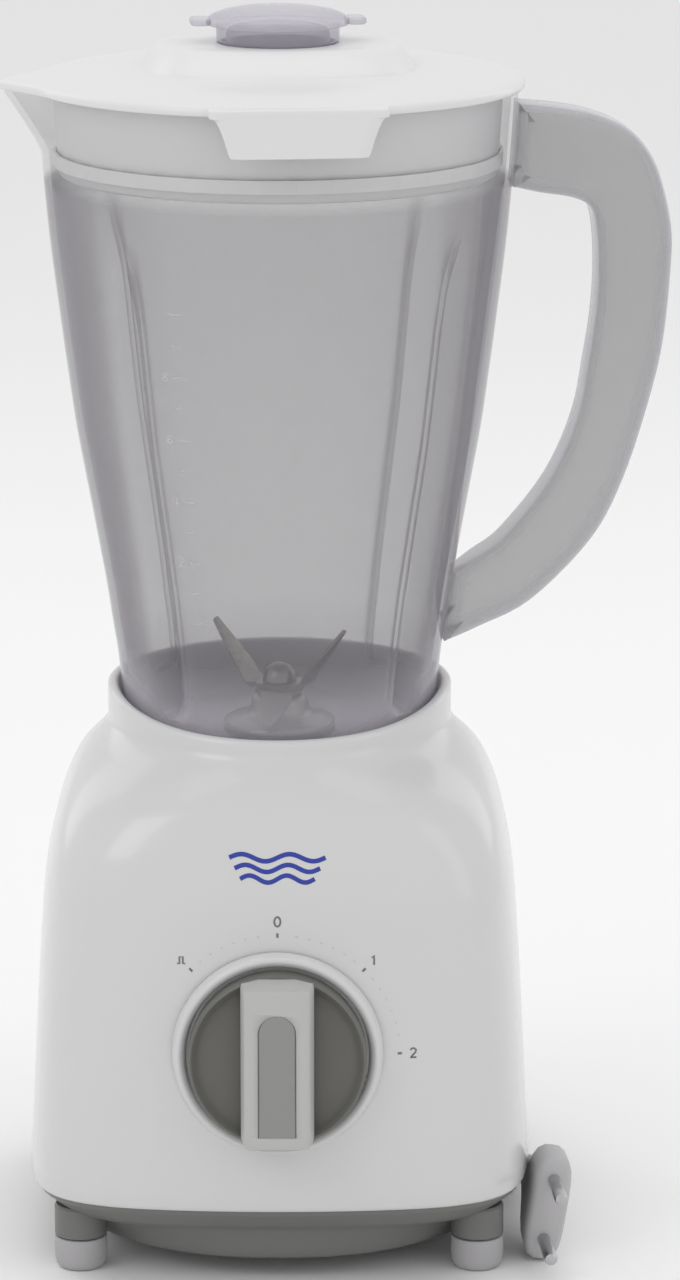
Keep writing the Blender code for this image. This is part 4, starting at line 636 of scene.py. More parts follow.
@dataclass
class Cord:
    """The mains cord: its lead, its coil behind the base and its tail to the plug."""

    radius: float = 0.00325
    gland: Point = (0.030, 0.0, 0.034)
    coil_centre: Pair = (-0.012, 0.158)
    inner_turn: float = 0.03215
    outer_turn: float = 0.03870
    plug_front: Point = (0.0817, -0.0510, 0.0169)
    plug_turn: Point = (math.pi / 2, math.radians(9), math.radians(5))
    plug_length: float = 0.034
    pin_radius: float = 0.002
    pin_side: float = 0.0095
    clear: float = 0.0238

    def start(self) -> Vector:
        """Where the cord leaves its strain relief."""
        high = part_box("cord_gland")[1]
        return Vector((self.gland[0], high.y - AXIS.y + GAP, self.gland[2]))

    def coil(self) -> list[Vector]:
        """The turns: outer and inner low, inner and outer high, three and a half in all."""
        cx, cy = self.coil_centre
        low, high = 0.0036, 0.0101
        outer, inner = self.outer_turn, self.inner_turn
        radii = ((90, outer), (400, outer), (440, inner), (1080, inner), (1120, outer), (1350, outer))
        heights = ((90, low), (740, low), (780, high), (1350, high))
        made = []
        for angle in range(90, 1351, 15):
            spot = polar(self._eased(radii, angle), math.radians(angle), self._eased(heights, angle))
            made.append(Vector((cx, cy, 0)) + Vector(spot))
        return made

    @staticmethod
    def _eased(table: Sequence[Pair], at: float) -> float:
        """A stepped value that eases from each level to the next."""
        for (x0, y0), (x1, y1) in zip(table, table[1:]):
            if at <= x1:
                t = (at - x0) / (x1 - x0)
                return y0 + (y1 - y0) * (3 * t**2 - 2 * t**3)
        return table[-1][1]

    def route(self) -> list[Vector]:
        """Every point of the centreline, from the gland to the plug."""
        cx, cy = self.coil_centre
        x, y, z = self.start()
        lie = self.radius + GAP
        lead = [
            (x, y, z), (x, y + 0.009, z), (x + 0.005, y + 0.022, z - 0.012),
            (x + 0.010, y + 0.034, z - 0.023), (cx + 0.055, cy - 0.004, lie + 0.0012),
            (cx + 0.0555, cy + 0.010, lie), (cx + 0.051, cy + 0.024, lie),
            (cx + 0.040, cy + self.outer_turn - 0.004, lie), (cx + self.clear, cy + self.outer_turn, lie),
        ]
        turn = Euler(self.plug_turn).to_matrix()
        back, run, bend = (Vector(self.plug_front) + turn @ Vector((0, 0, -self.plug_length - step))
                           for step in (0.0003, 0.006, 0.014))
        near = cy - self.outer_turn
        tail = [
            (cx + 0.012, near, 0.0099), (cx + self.clear, near, 0.0068),
            (cx + self.clear + 0.016, near - 0.0008, lie + 0.0008),
            (cx + self.clear + 0.034, near - 0.003, lie), (0.062, 0.110, lie), (0.0725, 0.088, lie),
            (0.0745, 0.064, lie), (0.0745, 0.042, lie), (0.0748, 0.026, lie + 0.0022),
            bend - Vector((0, 0, 0.0022)), run, back,
        ]
        return [Vector(p) for p in (*lead, *self.coil(), *tail)]

    def build(self) -> None:
        """Makes the cord, its plug and its strain relief."""
        line = [AXIS + p for p in smooth_line(self.route(), 4)]
        curve = bpy.data.curves.new("mains_cord", "CURVE")
        curve.dimensions = "3D"
        curve.bevel_depth = self.radius
        curve.bevel_resolution = 4
        curve.use_fill_caps = True
        spline = curve.splines.new("POLY")
        spline.points.add(len(line) - 1)
        for point, spot in zip(spline.points, line):
            point.co = (*spot, 1)
        made = add_object("mains_cord", curve)
        curve.materials.append(PVC.material())
        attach(made, "base")
        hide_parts("cord_lead", "cord_coil", "cord_tail")
        self.plug()
        self.relief()

    def plug(self) -> list[bpy.types.Object]:
        """The flat two-pin plug.

        Returns:
            Its body and its pins.
        """
        turn = self.plug_turn
        half_x, half_y = 0.0058, 0.0165
        stations = ((0, 0.72, 0.90), (0.0007, 0.88, 0.965), (0.0018, 1, 1), (0.008, 1, 1), (0.0135, 1, 0.99),
                    (0.0165, 0.98, 0.90), (0.0200, 0.94, 0.74), (0.0240, 0.88, 0.56), (0.0275, 0.84, 0.44),
                    (0.0279, 0.76, 0.40), (0.0289, 0.76, 0.39), (0.0293, 0.82, 0.40), (0.0312, 0.80, 0.36),
                    (0.0316, 0.72, 0.32), (0.0326, 0.72, 0.31), (0.0330, 0.78, 0.31),
                    (self.plug_length, 0.76, 0.28))
        rings = [at_height(ring_outline(half_x * thick, half_y * wide, 2.0 + 1.6 * min(1, wide), 48), -depth)
                 for depth, thick, wide in stations]
        body = loft("plug_moulding", rings, PVC, sharp=50)
        made = [place(body, "base", ["plug_body"], self.plug_front, turn, "cord_grey")]
        for name, side in (("lower", -1), ("upper", 1)):
            r = self.pin_radius
            profile = [(0, 0.019), (r * 0.55, 0.0188), (r * 0.9, 0.0183), (r, 0.0174), (r, 0.0105),
                       (r * 0.94, 0.0103), (r * 0.94, GAP), (0, GAP)]
            pin = turned(f"plug_contact_{name}", profile, PLATED, 24, closed=False)
            at = Vector(self.plug_front) + Euler(turn).to_matrix() @ Vector((0, side * self.pin_side, 0))
            made.append(place(pin, "base", [f"plug_pin_{name}"], at, turn, "brass"))
        return made

    def relief(self) -> None:
        """The tapered, grooved strain relief."""
        wall = self.start().y - GAP - 0.030
        profile = [(0.00425, 0.030), (0.0044, 0.0297)]
        for step in range(7):
            z = 0.0272 - step * 0.0034
            r = 0.0046 + (0.0300 - z) * 0.00028 / 0.005
            profile += [(r, z + 0.0012), (r, z), (r - 0.0009, z - 0.0003), (r - 0.0009, z - 0.0012)]
        profile += [(0.0058, 0.0036), (0.0078, 0.0032), (0.0082, 0.0026), (0.0082, 0.0007), (0.0060, 0.0007),
                    (0.0060, -0.0060), (0.0034, -0.0060), (0.0034, 0.030)]
        made = turned("strain_relief", profile, PVC, 40, sharp=40)
        at = (self.gland[0], wall, self.gland[2])
        place(made, "base", ["cord_gland"], at, (-math.pi / 2, 0, 0), "cord_grey")


# The motor base


@dataclass
class Base:
    """The white housing with its printed marks, the bottom cover and the feet."""

    edge_z: float = 0.0258
    half_width: tuple[Pair, ...] = (
        (0.0258, 0.0768), (0.041, 0.0759), (0.067, 0.0746), (0.080, 0.0739), (0.093, 0.0731), (0.106, 0.0722),
        (0.112, 0.0717), (0.119, 0.0708), (0.125, 0.0695), (0.132, 0.0677), (0.138, 0.0655), (0.144, 0.0628),
        (0.148, 0.0604), (0.152, 0.0576), (0.1555, 0.0547), (0.158, 0.0532),
    )
    depth_more: tuple[Pair, ...] = ((0.0258, 0.0022), (0.106, 0.0020), (0.140, 0.0008), (0.158, 0.0))
    squareness: float = 7.0
    crown: float = 0.10
    collar_radius: float = 0.0524
    collar_low: float = 0.1635
    collar_high: float = 0.1710
    wall: float = 0.0025
    cover_wall: float = 0.0022
    sides: int = 160
    feet: Pair = (0.060, 0.0525)

    def ring(self, z: float, inset: float = 0.0) -> list[Point]:
        """The housing's section at a height.

        Args:
            z: the height.
            inset: how far inside the outer face.

        Returns:
            A closed ring of points.
        """
        half_x = interpolate(self.half_width, z) - inset
        half_y = half_x + interpolate(self.depth_more, z)
        share = 1 - min(max((z - 0.106) / 0.051, 0), 1) ** 2.15
        power = 2 + (self.squareness - 2) * share**1.5
        return self._bowed(half_x, half_y, power, self.crown * share, z)

    def _bowed(self, half_x: float, half_y: float, power: float, crown: float, z: float) -> list[Point]:
        """A superellipse whose four sides bow out."""
        return [(x * (1 - crown / 2 * (y / half_y) ** 2), y * (1 - crown * (x / half_x) ** 2), z)
                for x, y in ring_outline(half_x, half_y, power, self.sides)]

    def circle(self, radius: float, z: float) -> list[Point]:
        """A level circle of the housing's loft."""
        return [polar(radius, a, z) for a in turns(self.sides)]

    def collar(self, radius: float, drop: float) -> list[Point]:
        """A ring along the collar's top, which dips at the front."""
        made = []
        for x, y, _ in self.circle(radius, 0):
            dip = min(1 + y / radius, 1)
            eased = dip * dip * (3 - 2 * dip) * 0.45 + dip * 0.55
            made.append((x, y, self.collar_low + (self.collar_high - self.collar_low) * eased - drop))
        return made

    def front_y(self, x: float, z: float) -> float:
        """Where the front face is at a place."""
        ring = sorted(p for p in self.ring(z) if p[1] < 0 and abs(p[0]) < 0.062)
        for a, b in zip(ring, ring[1:]):
            if a[0] <= x <= b[0]:
                return a[1] + (b[1] - a[1]) * (x - a[0]) / (b[0] - a[0])
        return ring[0][1]

    def housing(self) -> None:
        """The one-piece housing, with its socket and its inner face."""
        heights = [self.edge_z + 0.0006 * k for k in (0, 1, 2)]
        heights += [0.0258 + (0.106 - 0.0258) * k / 14 for k in range(1, 15)]
        heights += [0.106 + 0.0515 * k / 22 for k in range(1, 23)]
        insets = [0.0007, 0.0002] + [0] * (len(heights) - 2)
        outer = [self.ring(z, inset) for z, inset in zip(heights, insets)]
        outer += [self.circle(0.0526, 0.1588), self.circle(self.collar_radius, 0.1602)]
        outer += [self.collar(self.collar_radius - inset, drop) for inset, drop in (
            (0, 0.0019), (0.0002, 0.0010), (0.0008, 0.0003), (0.0016, 0))]
        socket = [self.collar(0.0500, 0.0001), self.collar(0.0492, 0.0009)]
        socket += [self.circle(r, z) for r, z in (
            (0.0485, 0.1600), (0.0478, 0.1530), (0.0470, 0.1330), (0.0462, 0.1322), (0.0450, 0.1320),
            (0.0092, 0.1320), (0.0090, 0.1318), (0.0090, 0.1296), (0.0498, 0.1296), (0.0502, 0.1500))]
        inner = [self.ring(z, self.wall + 0.0016 * max(0, z - 0.110) / 0.04)
                 for z in reversed(heights[2:34:2])]
        inner.append(self.ring(heights[0], self.wall))
        made = loft("housing_shell", outer + socket + inner, WHITE, closed=True, sharp=50)
        place(made, "base", ["base_housing"], slot="white_plastic")

    def bezel(self) -> None:
        """The raised ring round the knob."""
        profile = [(0.0288, 0.0022), (0.0294, 0.0023), (0.0300, 0.0020), (0.0306, 0.0012), (0.0311, 0.0003),
                   (0.0314, -0.0010), (0.0270, -0.0014), (0.0274, 0.0008), (0.0280, 0.0017)]
        made = turned("knob_bezel", profile, WHITE, 128, sharp=60)
        place(made, "base", (), (0, KNOB_FACE_Y, KNOB_Z), (math.pi / 2, 0, 0), "white_plastic")

    def ink(self, name: str, strokes: Sequence[Sequence[Pair]], width: float, finish: Finish) -> None:
        """Printed strokes that lie on the front face.

        Args:
            name: the object's name.
            strokes: lines of (x, z) points.
            width: how wide a stroke is.
            finish: the ink.
        """
        bm = bmesh.new()
        for stroke in strokes:
            ribbon(bm, stroke, width, lambda x, z: (x, self.front_y(x, z) - PRINT, z))
        made = finish_mesh(name, bm, finish)
        for polygon in made.data.polygons:
            if polygon.normal.y > 0:
                polygon.flip()
        place(made, "base")

    def marks(self) -> None:
        """The scale round the knob and a plain emblem of three waves."""
        def spot(radius: float, degrees: float) -> Pair:
            """A place round the knob, clockwise from straight up."""
            a = math.radians(degrees)
            return radius * math.sin(a), KNOB_Z + radius * math.cos(a)

        ticks = [[spot(0.0355, a), spot(0.0368, a)] for a in (-45, 0, 45, 90)]
        self.ink("scale_ticks", ticks, 0.0007, GREY_INK)
        dots = [[spot(0.0362, a - 0.5), spot(0.0362, a + 0.5)]
                for a in range(-39, 88, 6) if a % 45 not in (0, 3, 42)]
        self.ink("scale_dots", dots, 0.00035, PALE_INK)
        zero = [(0.9 * math.cos(t * math.pi / 8), 1.4 * math.sin(t * math.pi / 8)) for t in range(17)]
        one = [(-0.6, 0.7), (0.1, 1.4), (0.1, 0.0), (0.1, -1.4)]
        two = [(-0.9, 0.8), (-0.5, 1.3), (0.2, 1.4), (0.8, 0.9), (0.6, 0.1), (-0.3, -0.8),
               (-0.9, -1.4), (0.9, -1.4)]
        pulse = [(-1.2, -1.0), (-0.5, -1.0), (-0.5, 1.0), (0.5, 1.0), (0.5, -1.0), (1.2, -1.0)]
        signs = (("zero", zero, 0), ("one", one, 45), ("two", two, 90), ("pulse", pulse, -45))
        for name, shape, angle in signs:
            x, z = spot(0.0402, angle)
            self.ink(f"digit_{name}", [[(x + u / 1000, z + v / 1000) for u, v in shape]], 0.00055, GREY_INK)
        waves = []
        for row in range(3):
            z = 0.1325 - row * 0.0030
            reach = 0.0142 - 0.0016 * row
            waves.append([(-reach + 2 * reach * k / 40, z + 0.0010 * math.sin(k / 40 * 4 * math.pi))
                          for k in range(41)])
        self.ink("wave_emblem", waves, 0.0013, BLUE_INK)

    def cover(self) -> None:
        """The dark bottom cover, with thin black sheets for painted shade inside its air slots."""
        rim = self.edge_z - 0.0003
        stations = (
            (0.0068, 0.0145, 2.6), (0.0069, 0.0130, 2.6), (0.0074, 0.0119, 2.6), (0.0084, 0.0112, 2.65),
            (0.0105, 0.0106, 2.75), (0.0130, 0.0103, 2.95), (0.0155, 0.0099, 3.5), (0.0170, 0.0093, 4.4),
            (0.0178, 0.0085, 5.6), (0.0182, 0.0078, 6.4), (0.0200, 0.0060, 6.9), (0.0225, 0.0035, 7.0),
            (0.0236, 0.0023, 7.0), (0.0242, 0.0017, 7.0), (rim, 0.0014, 7.0),
        )
        outer = [self._cover_ring(*row) for row in stations]
        inner = [self._cover_ring(min(z + self.cover_wall, rim), inset + self.cover_wall, power)
                 for z, inset, power in stations[:-3]]
        made = loft("cover_shell", outer + list(reversed(inner)), DARK_GREY, sharp=50)
        place(made, "base", ["bottom_cover"], slot="dark_grey_plastic")
        # Painted shade: thin black sheets on the underside stand in for the dark inside of the air slots,
        # which are not cut through.
        for row in range(-3, 4):
            outline = ring_outline(0.017, 0.0015, 8, 48)
            slot = plate(f"vent_shade_sheet_{row + 3}", outline, 0.0004, BLACK_RUBBER, 0.00008)
            place(slot, "base", (), (0, row * 0.007, 0.0069))
        outline = [(0.0074, 0.0200), (0.0079, 0.0193), (0.0079, 0.0106), (0.0075, 0.0103), (0.0060, 0.0103),
                   (0.0060, 0.0200)]
        for name, x, y in self._corners():
            post = turned(f"foot_post_{name}", outline, DARK_GREY, 48)
            place(post, "base", (), (x, y, 0), slot="dark_grey_plastic")

    def _cover_ring(self, z: float, inset: float, power: float) -> list[Point]:
        """One ring of the cover."""
        return self._bowed(0.0768 - inset, 0.0790 - inset, power, self.crown, z)

    def _corners(self) -> list[tuple[str, float, float]]:
        """Each foot's name and place."""
        x, y = self.feet
        return [("front_left", -x, -y), ("front_right", x, -y), ("rear_left", -x, y), ("rear_right", x, y)]

    def rubber_feet(self) -> None:
        """The four soft feet, each with a recess for its screw."""
        outline = [(0.0079, 0.0099), (0.0080, 0.0060), (0.0078, 0.0024), (0.0071, 0.0006), (0.0061, 0.0),
                   (0.0046, 0.0), (0.0043, 0.0006), (0.0042, 0.0062), (0.0024, 0.0064), (0.0024, 0.0099)]
        for name, x, y in self._corners():
            made = turned(f"rubber_foot_{name}", rounded(outline, 0.0006, 2), RUBBER, 56, sharp=40)
            place(made, "base", [f"foot_{name}"], (x, y, 0), slot="grey_rubber")

    def build(self) -> None:
        """Makes every piece of the base."""
        self.housing()
        self.bezel()
        self.marks()
        self.cover()
        self.rubber_feet()


@dataclass
class Knob:
    """The rotary knob: dished sides, a grip bar across it and an inlay that points at the scale."""

    radius: float = 0.0265
    skirt: float = 0.0060
    grip_half: float = 0.00975
    grip_height: float = 0.0095
    inlay_half: float = 0.00535

    def build(self) -> None:
        """Makes the knob's three moulded pieces."""
        back = 0.0007
        face = back + self.skirt
        at, turn = (0, KNOB_FACE_Y, KNOB_Z), (math.pi / 2, 0, 0)
        profile = [(0.0034, face - 0.0030), (0.0110, face - 0.0031), (0.0190, face - 0.0029),
                   (0.0225, face - 0.0024), (0.0243, face - 0.0014), (0.0250, face - 0.0004),
                   (0.0256, face), (0.0262, face - 0.0003),
                   (self.radius, face - 0.0011), (self.radius, back + 0.0002), (self.radius - 0.0003, back),
                   (0.0034, back)]
        place(turned("knob_disc", profile, KNOB_GREY, 128, sharp=45), "knob", ["knob_body"], at, turn,
              "dark_grey_plastic")
        self.grip(face, at, turn)

    def grip(self, face: float, at: Point, turn: Point) -> None:
        """The bar and the inlay in it.

        Args:
            face: the disc's front, from the panel.
            at: the knob's middle.
            turn: the knob's rotation.
        """
        reach = self.radius - 0.0010
        low, top = face + 0.0001, face + self.grip_height
        rows = 40
        rings = []
        edge = math.sqrt(reach**2 - self.grip_half**2)
        lean = 0.0011
        for k in range(rows + 1):
            y = -reach + 2 * reach * k / rows
            fall = max(0.0, abs(y) - edge) / (reach - edge)
            half = self.grip_half * math.sqrt(max(0.0004, 1 - 0.80 * fall**2.4))
            high = top - 0.0024 * fall**2 - 0.0006 * (y / reach) ** 2
            section = [(-half - lean, low), (-half, high - 0.0012), (-half + 0.0005, high - 0.0004),
                       (-half + 0.0015, high), (half - 0.0015, high), (half - 0.0005, high - 0.0004),
                       (half, high - 0.0012), (half + lean, low)]
            rings.append([(x, y, z) for x, z in section])
        bar = loft("knob_bar", rings, LIGHT_GREY, sharp=40)
        cut = plate("inlay_recess", self._tongue(self.inlay_half + 0.0003, reach), 0.004, LIGHT_GREY, 0)
        cut.location.z = top + 0.0008
        cut.hide_render = cut.hide_viewport = True
        trim = bar.modifiers.new("recess", "BOOLEAN")
        trim.operation = "DIFFERENCE"
        trim.object = cut
        apply_modifiers(bar)
        bpy.data.objects.remove(cut)
        place(bar, "knob", ["knob_grip"], at, turn, "light_grey_plastic")
        inlay = plate("knob_pointer", self._tongue(self.inlay_half, reach), 0.0012, MID_GREY, 0.00025)
        spot = Vector(at) + Euler(turn).to_matrix() @ Vector((0, 0, top - 0.0009))
        place(inlay, "knob", ["knob_inlay"], spot, turn, "mid_grey_plastic")

    @staticmethod
    def _tongue(half: float, reach: float) -> list[Pair]:
        """A strip with one round end and one cut square near the rim."""
        top = reach - 0.0085
        bend = [(half * math.cos(math.pi * k / 16), top - half + half * math.sin(math.pi * k / 16))
                for k in range(17)]
        return [*bend, (-half, -reach + 0.0050), (half, -reach + 0.0050)]


def apply_modifiers(made: bpy.types.Object) -> None:
    """Bakes an object's modifiers into its mesh."""
    bpy.context.view_layer.update()
    graph = bpy.context.evaluated_depsgraph_get()
    mesh = bpy.data.meshes.new_from_object(made.evaluated_get(graph))
    made.modifiers.clear()
    made.data = mesh


# The jug


LEVEL_DIGITS = (  # 2, 4, 6 and 8, each one stroke
    ((-1, 1), (0, 1.5), (1, 0.9), (0, -0.3), (-1, -1.5), (1, -1.5)),
    ((0.5, -1.5), (0.5, 1.5), (-1, -0.5), (1, -0.5)),
    ((0.8, 1.4), (-0.6, 0.6), (-1, -0.6), (0, -1.5), (1, -0.7), (0, 0.1), (-0.9, -0.4)),
    ((0, 0.1), (-0.8, 0.8), (0, 1.5), (0.8, 0.8), (0, 0.1), (-1, -0.7), (0, -1.5), (1, -0.7), (0, 0.1)),
)


@dataclass
class Jug:
    """The clear jug with its ribs, spout and handle, and the printed levels."""

    wall: float = 0.0022
    rim_z: float = 0.3515
    flare: tuple[Pair, ...] = (
        (0.1323, 0.0460), (0.150, 0.0467), (0.163, 0.0474), (0.171, 0.0483), (0.182, 0.0495), (0.188, 0.0505),
        (0.201, 0.0524), (0.213, 0.0545), (0.226, 0.0568), (0.238, 0.0590), (0.250, 0.0611), (0.263, 0.0629),
        (0.275, 0.0645), (0.287, 0.0660), (0.299, 0.0675), (0.311, 0.0688), (0.326, 0.0701), (0.3515, 0.0718),
    )
    rib_angle: float = math.radians(47.3)
    rib_half: float = 0.0068
    rib_depth: float = 0.0058
    rib_foot: float = 0.166
    rib_point: float = 0.314
    spout_reach: float = 0.0100
    spout_half: float = math.radians(15)
    spout_root: float = 0.333
    level_low: float = 0.198
    level_step: float = 0.0095
    handle_width: float = 0.0218
    outer: tuple[Pair, ...] = (
        (0.0840, 0.3450), (0.0940, 0.3430), (0.1030, 0.3392), (0.1090, 0.3340), (0.1140, 0.3250),
        (0.1178, 0.3090), (0.1178, 0.2950), (0.1158, 0.2740), (0.1118, 0.2560), (0.1042, 0.2320),
        (0.0945, 0.2134), (0.0762, 0.1948), (0.0600, 0.1866),
    )
    inner: tuple[Pair, ...] = (
        (0.0590, 0.2078), (0.0680, 0.2145), (0.0815, 0.2316), (0.0897, 0.2503), (0.0932, 0.2688),
        (0.0950, 0.2810), (0.0958, 0.2932), (0.0954, 0.3060), (0.0935, 0.3145), (0.0880, 0.3178),
        (0.0780, 0.3195),
    )

    def radius(self, z: float) -> float:
        """The wall's outer radius at a height."""
        return interpolate(self.flare, z)

    def ribs(self) -> list[float]:
        """The ribs' directions, from +X."""
        return [middle + side * self.rib_angle for middle in (-math.pi / 2, math.pi / 2) for side in (-1, 1)]

    @staticmethod
    def apart(a: float, b: float) -> float:
        """The angle between two directions."""
        return abs((a - b + math.pi) % (2 * math.pi) - math.pi)

    def angles(self) -> list[float]:
        """Directions round the jug, closer together at the ribs and the spout."""
        made = {round(a, 6) for a in turns(144)}
        for rib in self.ribs():
            made |= {round((rib + math.radians(k)) % (2 * math.pi), 6) for k in range(-6, 7)}
        made |= {round(math.pi + math.radians(k), 6) for k in range(-15, 16)}
        ordered = sorted(made)
        return [a for i, a in enumerate(ordered) if i == 0 or a - ordered[i - 1] > 0.004]

    def reach(self, angle: float, z: float, inset: float) -> float:
        """The surface's distance from the axis.

        Args:
            angle: the direction.
            z: the height.
            inset: how far inside the outer face.

        Returns:
            The radius there.
        """
        r = self.radius(z) - inset
        near = min(self.apart(angle, rib) for rib in self.ribs()) * self.radius(z)
        fade = min(1.0, (self.rib_point - z) / 0.034, (z - self.rib_foot) / 0.005)
        if fade > 0 and near < self.rib_half:
            shape = (1 - near / self.rib_half) ** 1.15
            r -= self.rib_depth * (1 - (1 - fade) ** 2) * shape
        rise = min(max((z - self.spout_root) / (self.rim_z - self.spout_root), 0), 1)
        beak = max(0.0, 1 - self.apart(angle, math.pi) / self.spout_half)
        return r + self.spout_reach * rise**1.15 * beak**1.5

    def ring(self, z: float, inset: float = 0.0) -> list[Point]:
        """A ring of the wall."""
        return [polar(self.reach(a, z, inset), a, z) for a in self.angles()]

    def level(self, radius: float, z: float) -> list[Point]:
        """A plain circle with the wall's directions."""
        return [polar(radius, a, z) for a in self.angles()]

    def body(self) -> None:
        """The jug's wall, floor and foot."""
        heights = [0.1323, 0.1330, 0.1400, 0.1500, 0.1580, 0.1630, 0.1645]
        heights += [self.rib_foot + k * 0.0016 for k in range(4)]
        heights += [0.175 + (0.276 - 0.175) * k / 26 for k in range(27)]
        heights += [0.276 + 0.038 * k / 12 for k in range(1, 13)]
        heights += [0.320, 0.326, *(0.333 + 0.0176 * k / 8 for k in range(9))]
        heights += [self.rim_z - 0.0005, self.rim_z]
        outer = [self.ring(z, 0.0004 if z in (heights[0], self.rim_z) else 0) for z in heights]
        inner = [self.ring(z, self.wall - (0.0004 if z == self.rim_z else 0))
                 for z in reversed(heights) if z > 0.158]
        floor = [self.level(r, z) for r, z in (
            (0.0448, 0.1575), (0.0436, 0.1553), (0.0412, 0.1543), (0.0380, 0.1540), (0.0180, 0.1540),
            (0.0121, 0.1540), (0.0120, 0.1517), (0.0122, 0.1515), (0.0436, 0.1515), (0.0440, 0.1500),
            (0.0439, 0.1330), (0.0442, 0.1323))]
        made = loft("jug_wall", outer + inner + floor, CLEAR, closed=True, sharp=40)
        place(made, "jug", ["jug"], turn=(0, 0, JUG_TURN), slot="smoky_clear_plastic")

    def handle(self) -> None:
        """The open handle, a thick clear bar with rolled edges."""
        def root(z: float) -> Pair:
            """Where the handle meets the wall."""
            return self.radius(z) + 0.0002, z

        outline = [(p.x, p.y) for line in ((root(0.3463), *self.outer, root(0.1822)),
                                           (root(0.2032), *self.inner, root(0.3213)))
                   for p in smooth_line(line, 5)]
        made = plate("jug_handle", outline, self.handle_width, PAINTED_SHEEN_HANDLE_CLEAR, 0.0046)
        place(made, "jug", turn=(math.pi / 2, 0, JUG_TURN), slot="smoky_clear_plastic")

    def levels(self) -> None:
        """Printed level lines and digits on the jug's left front."""
        def on_wall(along: float, z: float) -> Point:
            """A place on the wall, from the print's middle line."""
            r = self.radius(z) + PRINT
            return polar(r, math.radians(-90 - 33) + along / r, z)

        bm = bmesh.new()
        for k in range(11):
            z = self.level_low + k * self.level_step
            reach = 0.0036 if k % 2 == 0 else 0.0020
            ribbon(bm, [(0, z), (reach / 2, z), (reach, z)], 0.0004, on_wall)
        for k, shape in enumerate(LEVEL_DIGITS):
            z = self.level_low + (k + 1) * 2 * self.level_step
            ribbon(bm, [(-0.0028 + u * 0.0009, z + v * 0.0009) for u, v in shape], 0.0004, on_wall)
        made = finish_mesh("level_print", bm, PALE_INK)
        place(made, "jug", turn=(0, 0, JUG_TURN))

    def build(self) -> None:
        """Makes the jug's pieces."""
        self.body()
        self.handle()
        self.levels()


@dataclass
class Blades:
    """The bearing housing in the jug's floor and the spinning blades over it."""

    top_z: float = 0.1655
    reach: float = 0.0215
    half: float = 0.0050
    thickness: float = 0.0015
    bend: float = 0.0075
    bevel: float = 0.0022

    def bearing(self) -> None:
        """The stepped bearing housing, which the jug carries."""
        flange, top = 0.1561, self.top_z
        outline = [(0.00415, top), (0.0068, top), (0.0078, top - 0.0005), (0.0085, top - 0.0016),
                   (0.0090, flange + 0.0050), (0.0104, flange + 0.0032), (0.0135, flange + 0.0024),
                   (0.0160, flange + 0.0020), (0.0168, flange + 0.0014), (0.0170, flange),
                   (0.0117, flange), (0.0117, 0.1465), (0.00415, 0.1465)]
        made = turned("blade_bearing", outline, STEEL, 72, sharp=45)
        place(made, "jug", ["blade_bearing_housing"], slot="light_grey_plastic")

    def blade(self, name: str, z: float, rise: float, angle: float, node: str) -> None:
        """A pair of ground blades bent from one strip.

        Args:
            name: the object's name.
            z: the underside of its hub.
            rise: how far its tips are bent up, or down if negative.
            angle: its direction.
            node: the CAD node it stands for.
        """
        rings = []
        for k in range(-24, 25):
            x = self.reach * k / 24
            away = abs(x)
            out = max(0.0, (away - self.bend) / (self.reach - self.bend))
            low = z + rise * out * (1 if away > self.bend + 0.0015 else 0.6)
            high = low + self.thickness
            half = 0.0064 if away < 0.0045 else self.half * (1 - 0.72 * out**1.6)
            skew = math.copysign(0.0016 * min(1, max(0, (away - 0.005) / 0.004)), x)
            cut = self.thickness * (1 - (0.35 if away > self.bend else 1)) / 2
            y0, y1 = skew - half, skew + half
            if x >= 0:
                section = ((y0, low), (y1 - self.bevel, low), (y1, low + cut), (y1, high - cut),
                           (y1 - self.bevel, high), (y0, high))
            else:
                section = ((y0, low + cut), (y0 + self.bevel, low), (y1, low), (y1, high),
                           (y0 + self.bevel, high), (y0, high - cut))
            rings.append([(x, y, level) for y, level in section])
        made = loft(name, rings, STEEL, sharp=25)
        place(made, "blades", [node], turn=(0, 0, angle), slot="stainless_steel")

    def build(self) -> None:
        """Makes the bearing housing, both blades and their nut."""
        self.bearing()
        lower = self.top_z + 0.0006
        upper = lower + self.thickness + 0.0003
        self.blade("blade_pair_lower", lower, -0.0068, math.radians(-105), "lower_blade")
        self.blade("blade_pair_upper", upper, 0.0180, math.radians(-28), "upper_blade")
        low = upper + self.thickness + 0.0003
        dome = [(0, low + 0.0053), (0.0020, low + 0.0051), (0.0034, low + 0.0043), (0.0044, low + 0.0030),
                (0.0050, low + 0.0014), (0.0052, low), (0, low)]
        place(turned("dome_nut", dome, STEEL, 6 * 8, closed=False, sharp=40), "blades", ["blade_nut"],
              slot="stainless_steel")


# Lid and measuring cap


